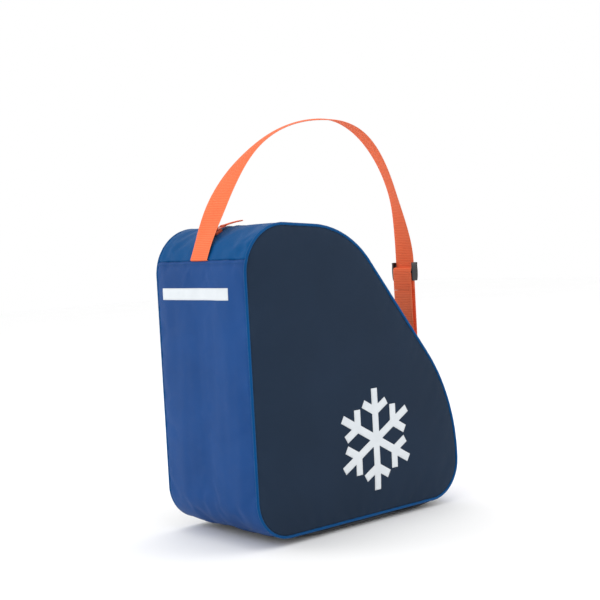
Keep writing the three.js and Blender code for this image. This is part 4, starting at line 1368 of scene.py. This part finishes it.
class Line:
    """A path in the X-Z plane, drawn as curves, straights and arcs."""

    def __init__(self, start: Sequence[float]) -> None:
        """Start at a point."""
        self.points: list[tuple[float, float]] = [(start[0], start[1])]

    def curve(self, a: Sequence[float], b: Sequence[float], end: Sequence[float], count: int = 160) -> "Line":
        """Add a cubic curve with two guide points."""
        p0 = np.array(self.points[-1])
        t = np.linspace(0, 1, count + 1)[1:, None]
        line = (1 - t) ** 3 * p0 + 3 * (1 - t) ** 2 * t * np.array(a)
        line = line + 3 * (1 - t) * t**2 * np.array(b) + t**3 * np.array(end)
        self.points += [tuple(p) for p in line]
        return self

    def to(self, end: Sequence[float], count: int = 12) -> "Line":
        """Add a straight."""
        p0 = np.array(self.points[-1])
        self.points += [tuple(p0 + (np.array(end) - p0) * k / count) for k in range(1, count + 1)]
        return self

    def arc(
        self, centre: Sequence[float], radii: tuple[float, float], start: float, end: float, count: int = 24
    ) -> "Line":
        """Add part of an ellipse, between two angles in degrees."""
        for k in range(1, count + 1):
            angle = math.radians(start + (end - start) * k / count)
            x, z = radii[0] * math.cos(angle), radii[1] * math.sin(angle)
            self.points.append((centre[0] + x, centre[1] + z))
        return self

    def arrays(self) -> tuple[Array, Array]:
        """Return the points and the way the line runs at each."""
        points = np.array(self.points)
        runs = np.gradient(points, axis=0)
        return points, runs / np.linalg.norm(runs, axis=1)[:, None]

    @property
    def lengths(self) -> Array:
        """The length along the line at each point."""
        points = np.array(self.points)
        return np.concatenate([[0], np.cumsum(np.linalg.norm(np.diff(points, axis=0), axis=1))])


@dataclass
class Strap:
    """The shoulder strap's webbing: arch, run, return layer, the fold round the adjuster and the tab that
    holds the ring.
    """

    outline: Outline
    seams: Seams
    repeat: PathRepeat
    finishes: Finishes
    ribbon: Ribbon = field(default_factory=Ribbon)
    skim: float = 2.4 * MM
    apex: tuple[float, float] = (242.0 * MM, 143.5 * MM)
    lean: float = 68.0
    fullness: tuple[float, float, float, float] = (82 * MM, 152 * MM, 122 * MM, 48 * MM)
    twist: tuple[tuple[float, float], ...] = (
        (0.02, 0.0), (0.12, 9.0), (0.32, -11.0), (0.6, 12.0), (0.82, 25.0), (1.0, 0.0))
    run_reach: float = 22.5 * MM
    run_top: float = 213.0 * MM
    ring_reach: tuple[float, float] = (14.0 * MM, 18.0 * MM)
    ring_pitch: float = 16.0 * MM
    bend_radius: float = 3.65 * MM
    sewn: float = 46.0 * MM

    def __post_init__(self) -> None:
        """Find the strap's fixed places."""
        x, z, _, _ = self.outline.at(self.outline.length_at(self.seams.front), 1 * MM)
        self.front = (x, z)
        self.run_x = x + self.run_reach
        self.low_bar = (x + self.ring_reach[0], z + self.ring_reach[1])
        self.high_bar = (self.run_x - self.bend_radius, self.low_bar[1] + self.ring_pitch)
        seam = self.outline.length_at(self.seams.heel_top)
        self.heel = self.outline.at(seam, self.skim)[:2]
        self.seam_in = self.outline.at(seam, -0.4 * MM)[:2]

    def _arch(self) -> tuple[Line, float]:
        """Return the strap's whole line and the length of its arch."""
        a, b, c, d = self.fullness
        heel = Vector(self.heel)
        way = Vector((math.cos(math.radians(self.lean)), math.sin(math.radians(self.lean))))
        corner_x, _, _, _ = self.outline.at(self.outline.length_at(180.0))
        corner_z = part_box("side_panel_right")[0][2] - self.outline.panel_edge * MM + self.outline.height * MM
        apex = (corner_x + self.apex[0], corner_z + self.apex[1])
        foot = (self.run_x, self.front[1] + self.run_top)
        line = Line(heel)
        line.curve(heel + way * a, (apex[0] - b, apex[1]), apex)
        line.curve((apex[0] + c, apex[1]), (foot[0], foot[1] + d), foot)
        return line, line.lengths[-1]

    def _webbing(self) -> None:
        """Weave the strap from the heel seam over the arch to the ring, and its return layer."""
        line, arch = self._arch()
        line.to((self.run_x, self.high_bar[1]), 30)
        line.arc(self.high_bar, (self.bend_radius, self.bend_radius), 0, -180)
        lengths = line.lengths
        share = lengths / arch
        turns = np.zeros_like(share)
        for (start, before), (end, after) in zip(self.twist, self.twist[1:]):
            turns += math.radians(after - before) * smooth(share, start, end)
        points, runs = line.arrays()
        root = np.array([self.seam_in])
        points = np.concatenate([root, points])
        way = points[1] - points[0]
        runs = np.concatenate([[way / np.linalg.norm(way)], runs])
        turns = np.concatenate([[0.0], turns])
        strap = self.ribbon.build("strap_web", points, runs, turns, self.finishes.webbing)
        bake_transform(strap)
        told(strap, "strap_webbing", "shoulder_strap", "strap_heel_end")

        back = self.run_x - 2 * self.bend_radius
        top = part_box("strap_return")[1][2]
        points, runs = Line((back, self.high_bar[1])).to((back, top)).arrays()
        flat = np.zeros(len(points))
        layer = self.ribbon.build("strap_return_web", points, runs, flat, self.finishes.webbing)
        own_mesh(layer)
        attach(layer, "strap")
        told(layer, "strap_webbing", "strap_return")

    def _fold(self) -> None:
        """Weave the end that goes round the adjuster's middle bar, with its stitches."""
        low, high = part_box("strap_adjuster_fold")
        half = self.ribbon.thickness / 2
        back, front = low[0] + half, high[0] - half
        middle = (back + front) / 2
        adjuster_low, adjuster_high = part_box("strap_adjuster")
        centre = (adjuster_low[2] + adjuster_high[2]) / 2
        radius = (front - back) / 2
        line = Line((back, low[2])).to((back, centre), 24)
        line.arc((middle, centre), (radius, high[2] - half - centre), 180, 0).to((front, low[2]), 24)
        points, runs = line.arrays()
        fold = self.ribbon.build("strap_fold_web", points, runs, np.zeros(len(points)), self.finishes.webbing)
        finish_piece(fold, "adjuster", "strap_webbing", "strap_adjuster_fold")
        rows = []
        for z in (low[2] + 4 * MM, low[2] + 9 * MM):
            y = np.linspace(-16, 16, 12) * MM
            face = back - half - 0.1 * MM
            places = np.column_stack([np.full(12, face), y, np.full(12, z)])
            rows.append((places, np.tile([-1.0, 0.0, 0.0], (12, 1))))
        thread = self.finishes.thread_orange
        stitches = self.repeat.run("strap_fold_stitching", rows, stitch_shape(), 3.0 * MM, thread, 0.05, 9)
        finish_piece(stitches, "adjuster", "strap_webbing")

    def _tab(self) -> None:
        """Weave the tab that holds the ring to the front seam."""
        along = Vector(self.low_bar) - Vector(self.front)
        reach, way = along.length, along.normalized()
        side = Vector((-way.y, way.x))
        half = self.ribbon.thickness / 2 + 0.3 * MM
        near = 1.0 * MM
        line = Line((near, half)).to((reach, self.bend_radius), 14)
        line.arc((reach, 0.0), (self.bend_radius, self.bend_radius), 90, -90).to((near, -half), 14)
        local = np.array(line.points)
        points = np.array(self.front) + local[:, :1] * np.array(way) + local[:, 1:] * np.array(side)
        runs = np.gradient(points, axis=0)
        runs /= np.linalg.norm(runs, axis=1)[:, None]
        tab = self.ribbon.build("ring_tab_web", points, runs, np.zeros(len(points)), self.finishes.webbing)
        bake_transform(tab)
        told(tab, "strap_webbing", "ring_tab")
        rows = []
        y = np.linspace(-16, 16, 12) * MM
        for reach_in, face in ((6 * MM, 1), (10 * MM, 1), (6 * MM, -1)):
            out = half + (self.bend_radius - half) * reach_in / reach + self.ribbon.thickness / 2 + 0.1 * MM
            at = Vector(self.front) + way * reach_in + side * (out * face)
            places = np.column_stack([np.full(12, at.x), y, np.full(12, at.y)])
            rows.append((places, np.tile([side.x * face, 0.0, side.y * face], (12, 1))))
        thread = self.finishes.thread_orange
        stitches = self.repeat.run("ring_tab_stitching", rows, stitch_shape(), 3.0 * MM, thread, 0.05, 12)
        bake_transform(stitches)
        told(stitches, "strap_webbing")

    def build(self) -> None:
        """Make the strap's webbing."""
        self._webbing()
        self._fold()
        self._tab()


PULL_PIVOT = (-163.47 * MM, 417.43 * MM)
PULL_WAY = 29.0
PULL_DROOP = 9.0


def polar(degrees: float, length: float) -> Vector:
    """Return a step in the X-Z plane."""
    return Vector((math.cos(math.radians(degrees)), math.sin(math.radians(degrees)))) * length


# ---- Hard fittings -------------------------------------------------------------------------------


@dataclass(frozen=True)
class Fitting:
    """A hard piece whose CAD shape is kept and whose edges are rounded."""

    node: str
    body: str
    slot: str
    radius: float
    segments: int = 3
    corner: float = 0.0
    droop: float = 0.0

    def _shape(self, bm: bmesh.types.BMesh) -> None:
        """Round the outer corners and let the pull's tab hang, where this fitting asks for it."""
        if self.corner:
            low, high = min(v.co.z for v in bm.verts), max(v.co.z for v in bm.verts)
            for step in range(1, LUG_BANDS):
                level = (low + high) / 2 + (high - low) / 2 * math.cos(math.pi * step / LUG_BANDS)
                whole = [*bm.verts, *bm.edges, *bm.faces]
                bmesh.ops.bisect_plane(
                    bm, geom=whole, dist=MERGE_GAP, plane_co=(0, 0, level), plane_no=(0, 0, 1))
            most = max(v.co.y for v in bm.verts)
            for v in bm.verts:
                if abs(v.co.y) > most - 0.05 * MM:
                    off = (2 * v.co.z - low - high) / (high - low)
                    v.co.y -= math.copysign(self.corner * (1 - math.sqrt(max(0.0, 1 - off**2))), v.co.y)
        if self.droop:
            pivot = Vector((PULL_PIVOT[0], 0, PULL_PIVOT[1]))
            turn = Matrix.Rotation(math.radians(self.droop), 3, "Y")
            bmesh.ops.rotate(bm, cent=pivot, matrix=turn, verts=bm.verts)

    def build(self, material: Material) -> Object:
        """Copy the node, merge it, round its edges and dress it."""
        source = bpy.data.objects[self.node] if self.node in bpy.data.objects else None
        if source is None:
            source = next(o for o in bpy.data.objects if o.name.split(".")[0] == self.node)
        mesh = source.data.copy()
        mesh.transform(source.matrix_world)
        mesh.materials.clear()
        bm = bmesh.new()
        bm.from_mesh(mesh)
        bmesh.ops.remove_doubles(bm, verts=bm.verts, dist=MERGE_GAP)
        if not self.corner:
            bmesh.ops.dissolve_limit(bm, angle_limit=math.radians(1.0), verts=bm.verts, edges=bm.edges)
        self._shape(bm)
        bmesh.ops.recalc_face_normals(bm, faces=bm.faces)
        bm.to_mesh(mesh)
        bm.free()
        obj = bpy.data.objects.new(f"{self.node}_shaped", mesh)
        bpy.context.scene.collection.objects.link(obj)
        mesh.materials.append(material)
        bevel = obj.modifiers.new("Edges", "BEVEL")
        bevel.width = self.radius
        bevel.segments = self.segments
        bevel.limit_method = "ANGLE"
        bevel.angle_limit = math.radians(BEVEL_ANGLE)
        applied(obj)
        obj.data.shade_smooth()
        weighted = obj.modifiers.new("Shading", "WEIGHTED_NORMAL")
        weighted.keep_sharp = True
        applied(obj)
        return finish_piece(obj, self.body, self.slot, self.node)


FITTINGS = (
    Fitting("strap_adjuster", "adjuster", "black_plastic", 0.6 * MM, 3, 2.4 * MM),
    Fitting("strap_ring", "strap", "black_plastic", 1.1 * MM, 4),
    Fitting("zipper_slider", "zip_slider", "zip_metal", 0.35 * MM),
    Fitting("zipper_pull_tab", "zip_pull", "zip_metal", 0.45 * MM, 3, 0.0, PULL_DROOP),
    Fitting("zipper_front_stop", "bag", "zip_metal", 0.5 * MM),
    Fitting("zipper_heel_stop", "bag", "zip_metal", 0.5 * MM),
)


# ---- Prints --------------------------------------------------------------------------------------


@dataclass
class Prints:
    """The heat-pressed films: a plain snow crystal on the right panel and a plain bar on the back."""

    shell: Shell
    finishes: Finishes
    film: float = 0.18 * MM
    step: float = 2.5 * MM

    def _film(self, node: str, panel: str, flat: tuple[int, int], facing: Vector) -> None:
        """Lay one film on its panel.

        Args:
            node: The CAD film whose outline is taken.
            panel: The panel it is pressed on.
            flat: The two axes of the film's plane.
            facing: The way the film faces.
        """
        source = bpy.data.objects[node]
        bm = bmesh.new()
        bm.from_mesh(source.data)
        bmesh.ops.remove_doubles(bm, verts=bm.verts, dist=0.01 * MM)
        bmesh.ops.recalc_face_normals(bm, faces=bm.faces)
        level = max(v.co.dot(facing) for v in bm.verts)
        away = [f for f in bm.faces if f.normal.dot(facing) < 0.9
                or f.calc_center_median().dot(facing) < level - 0.1 * MM]
        bmesh.ops.delete(bm, geom=away, context="FACES")
        rim = [e for e in bm.edges if len(e.link_faces) == 1]
        loop = self._loop(rim)
        corners = [Vector((v.co[flat[0]], v.co[flat[1]])) for v in loop]
        bm.free()
        edge = []
        for a, b in zip(corners, corners[1:] + corners[:1]):
            count = max(1, round((b - a).length / self.step))
            edge += [a.lerp(b, k / count) for k in range(count)]
        xs, ys = [p.x for p in edge], [p.y for p in edge]
        across, up = (np.arange(min(side), max(side), self.step) for side in (xs, ys))
        inner = [Vector((x, y)) for x in across for y in up
                 if min((p.x - x) ** 2 + (p.y - y) ** 2 for p in edge) > (0.6 * self.step) ** 2]
        points, _, faces, _, _, _ = delaunay_2d_cdt(edge + inner, [], [list(range(len(edge)))], 1, 1e-7)
        tree = self.shell.trees[panel]
        third = ({0, 1, 2} - set(flat)).pop()
        places = []
        for p in points:
            start = Vector((0, 0, 0))
            start[flat[0]], start[flat[1]] = p.x, p.y
            start[third] = facing[third] * 0.4
            at, _, _, _ = tree.ray_cast(start, -facing)
            places.append(at + facing * (self.film + 0.12 * MM))
        obj = make_object(f"{node}_film", places, faces, None, self.finishes.film)
        if obj.data.polygons[0].normal.dot(facing) < 0:
            obj.data.flip_normals()
        thicken(obj, self.film)
        finish_piece(obj, "bag", "print_film", node)

    @staticmethod
    def _loop(rim: list[bmesh.types.BMEdge]) -> list[bmesh.types.BMVert]:
        """Order a rim's vertices round its one loop."""
        edge = rim[0]
        first = vert = edge.verts[0]
        loop = []
        inside = set(rim)
        while True:
            loop.append(vert)
            vert = edge.other_vert(vert)
            if vert is first:
                return loop
            edge = next(e for e in vert.link_edges if e in inside and e is not edge)

    def build(self) -> None:
        """Press both films on."""
        self._film("side_print", "side_panel_right", (0, 2), Vector((0, -1, 0)))
        self._film("back_print", "back_panel", (1, 2), Vector((-1, 0, 0)))


# ---- The zip's pull ------------------------------------------------------------------------------


@dataclass
class PullRibbon:
    """The folded ribbon in the pull's slot, which sags a little on its way forward."""

    finishes: Finishes
    width: float = 8.0 * MM
    thickness: float = 0.8 * MM
    slot: float = 12.4 * MM
    length: float = 34.0 * MM
    bend: float = 1.25 * MM
    sag: float = 11.5

    def build(self) -> None:
        """Weave the ribbon, sagging a little on its way forward."""
        start = Vector(PULL_PIVOT) + polar(PULL_WAY - PULL_DROOP, self.slot)
        end = start + polar(self.sag, self.length)
        guide = start + polar(PULL_WAY - PULL_DROOP, self.length * 0.35)
        t = np.linspace(0, 1, 24)[:, None]
        centre = (1 - t) ** 2 * np.array(start) + 2 * (1 - t) * t * np.array(guide) + t**2 * np.array(end)
        runs = np.gradient(centre, axis=0)
        runs /= np.linalg.norm(runs, axis=1)[:, None]
        sides = np.column_stack([-runs[:, 1], runs[:, 0]])
        half = self.bend + (self.thickness * 0.56 - self.bend) * smooth(t, 0.0, 0.3)
        line = Line((centre - sides * half)[-1])
        line.points += [tuple(p) for p in (centre - sides * half)[-2::-1]]
        way = PULL_WAY - PULL_DROOP
        line.arc(start, (self.bend, self.bend), way - 90, way - 270, 12)
        line.points += [tuple(p) for p in (centre + sides * half)[1:]]
        points, ways = line.arrays()
        ribbon = Ribbon(self.width, self.thickness, 1.2 * MM, 0.05 * MM, 4)
        obj = ribbon.build("pull_ribbon_web", points, ways, np.zeros(len(points)), self.finishes.webbing)
        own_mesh(obj)
        finish_piece(obj, "zip_pull", "pull_ribbon", "zipper_pull_ribbon")


# ---- Studio --------------------------------------------------------------------------------------


@dataclass
class Studio:
    """The camera, the floor and the soft lights."""

    eye: tuple[float, float, float] = (-1.12938, -1.30621, 0.40252)
    target: tuple[float, float, float] = (-0.02136, 0.0, 0.3121)
    lens: float = 72.24
    roll: float = 3.11

    def camera(self) -> None:
        """Set the camera, rolled as it was held."""
        data = bpy.data.cameras.new("camera")
        data.lens, data.sensor_width = self.lens, SENSOR_WIDTH
        camera = bpy.data.objects.new("camera", data)
        bpy.context.scene.collection.objects.link(camera)
        way = (Vector(self.target) - Vector(self.eye)).to_track_quat("-Z", "Y")
        turn = Quaternion((0, 0, 1), math.radians(-self.roll))
        camera.matrix_world = Matrix.Translation(self.eye) @ (way @ turn).to_matrix().to_4x4()
        bpy.context.scene.camera = camera

    def floor(self) -> None:
        """Lay the pale floor."""
        bench = NodeBench("studio_floor")
        tone = bench.mix(bench.noise(2.0), linear("fcfcfc"), linear("ffffff"))
        bench.join(tone, bench.shader.inputs["Base Color"])
        bench.shader.inputs["Roughness"].default_value = 0.9
        size = 6.0
        floor = make_object("floor", [(-size, -size, 0), (size, -size, 0), (size, size, 0), (-size, size, 0)],
                            [(0, 1, 2, 3)], None, bench.material)

    def light(self, name: str, place: Sequence[float], size: float, power: float) -> None:
        """Hang one soft square light."""
        data = bpy.data.lights.new(name, "AREA")
        data.shape, data.size, data.energy = "SQUARE", size, power
        lamp = bpy.data.objects.new(name, data)
        bpy.context.scene.collection.objects.link(lamp)
        way = (Vector(LIGHT_AIM) - Vector(place)).to_track_quat("-Z", "Y").to_matrix().to_4x4()
        lamp.matrix_world = Matrix.Translation(place) @ way

    def build(self) -> None:
        """Set up the studio."""
        self.camera()
        self.floor()
        world = bpy.data.worlds.new("studio")
        world.use_nodes = True
        world.node_tree.nodes["Background"].inputs[0].default_value = (1, 1, 1, 1)
        world.node_tree.nodes["Background"].inputs[1].default_value = 1.0
        bpy.context.scene.world = world
        bpy.context.scene.view_settings.view_transform = "Standard"
        self.light("key", (-1.7, 1.5, 1.1), 1.3, 13.0)
        self.light("front", (1.9, -1.9, 1.7), 1.6, 13.0)
        self.light("top", (0.2, 0.3, 2.6), 2.0, 12.0)


def dress_hidden(finishes: Finishes) -> None:
    """Give the inner CAD pieces that stay their finishes."""
    bindings = ("seam_binding_right", "seam_binding_left", "heel_top_seam_binding",
                "heel_sole_seam_binding", "toe_sole_seam_binding", "front_seam_binding")
    dressed = {"base_board": finishes.board} | dict.fromkeys(bindings, finishes.binding)
    for node, material in dressed.items():
        mesh = bpy.data.objects[node].data
        if mesh.materials:
            mesh.materials[0] = material
        else:
            mesh.materials.append(material)
        LOG.info("%s keeps its shape in %s", node, material.name)


def main() -> None:
    """Build the bag and its studio."""
    logging.basicConfig(level=logging.INFO, format="%(name)s %(message)s")
    Studio().build()
    finishes = Finishes()
    outline, seams = Outline(), Seams()
    repeat = PathRepeat()
    shell = Shell(outline, seams, finishes)
    shell.build()
    Piping(outline, finishes).build()
    SeamStitching(shell, repeat, finishes).build()
    Zip(shell, repeat, finishes).build()
    Strap(outline, seams, repeat, finishes).build()
    PullRibbon(finishes).build()
    for fitting in FITTINGS:
        fitting.build(finishes.black_plastic if fitting.slot == "black_plastic" else finishes.metal)
    Prints(shell, finishes).build()
    dress_hidden(finishes)


if __name__ == "__main__":
    main()
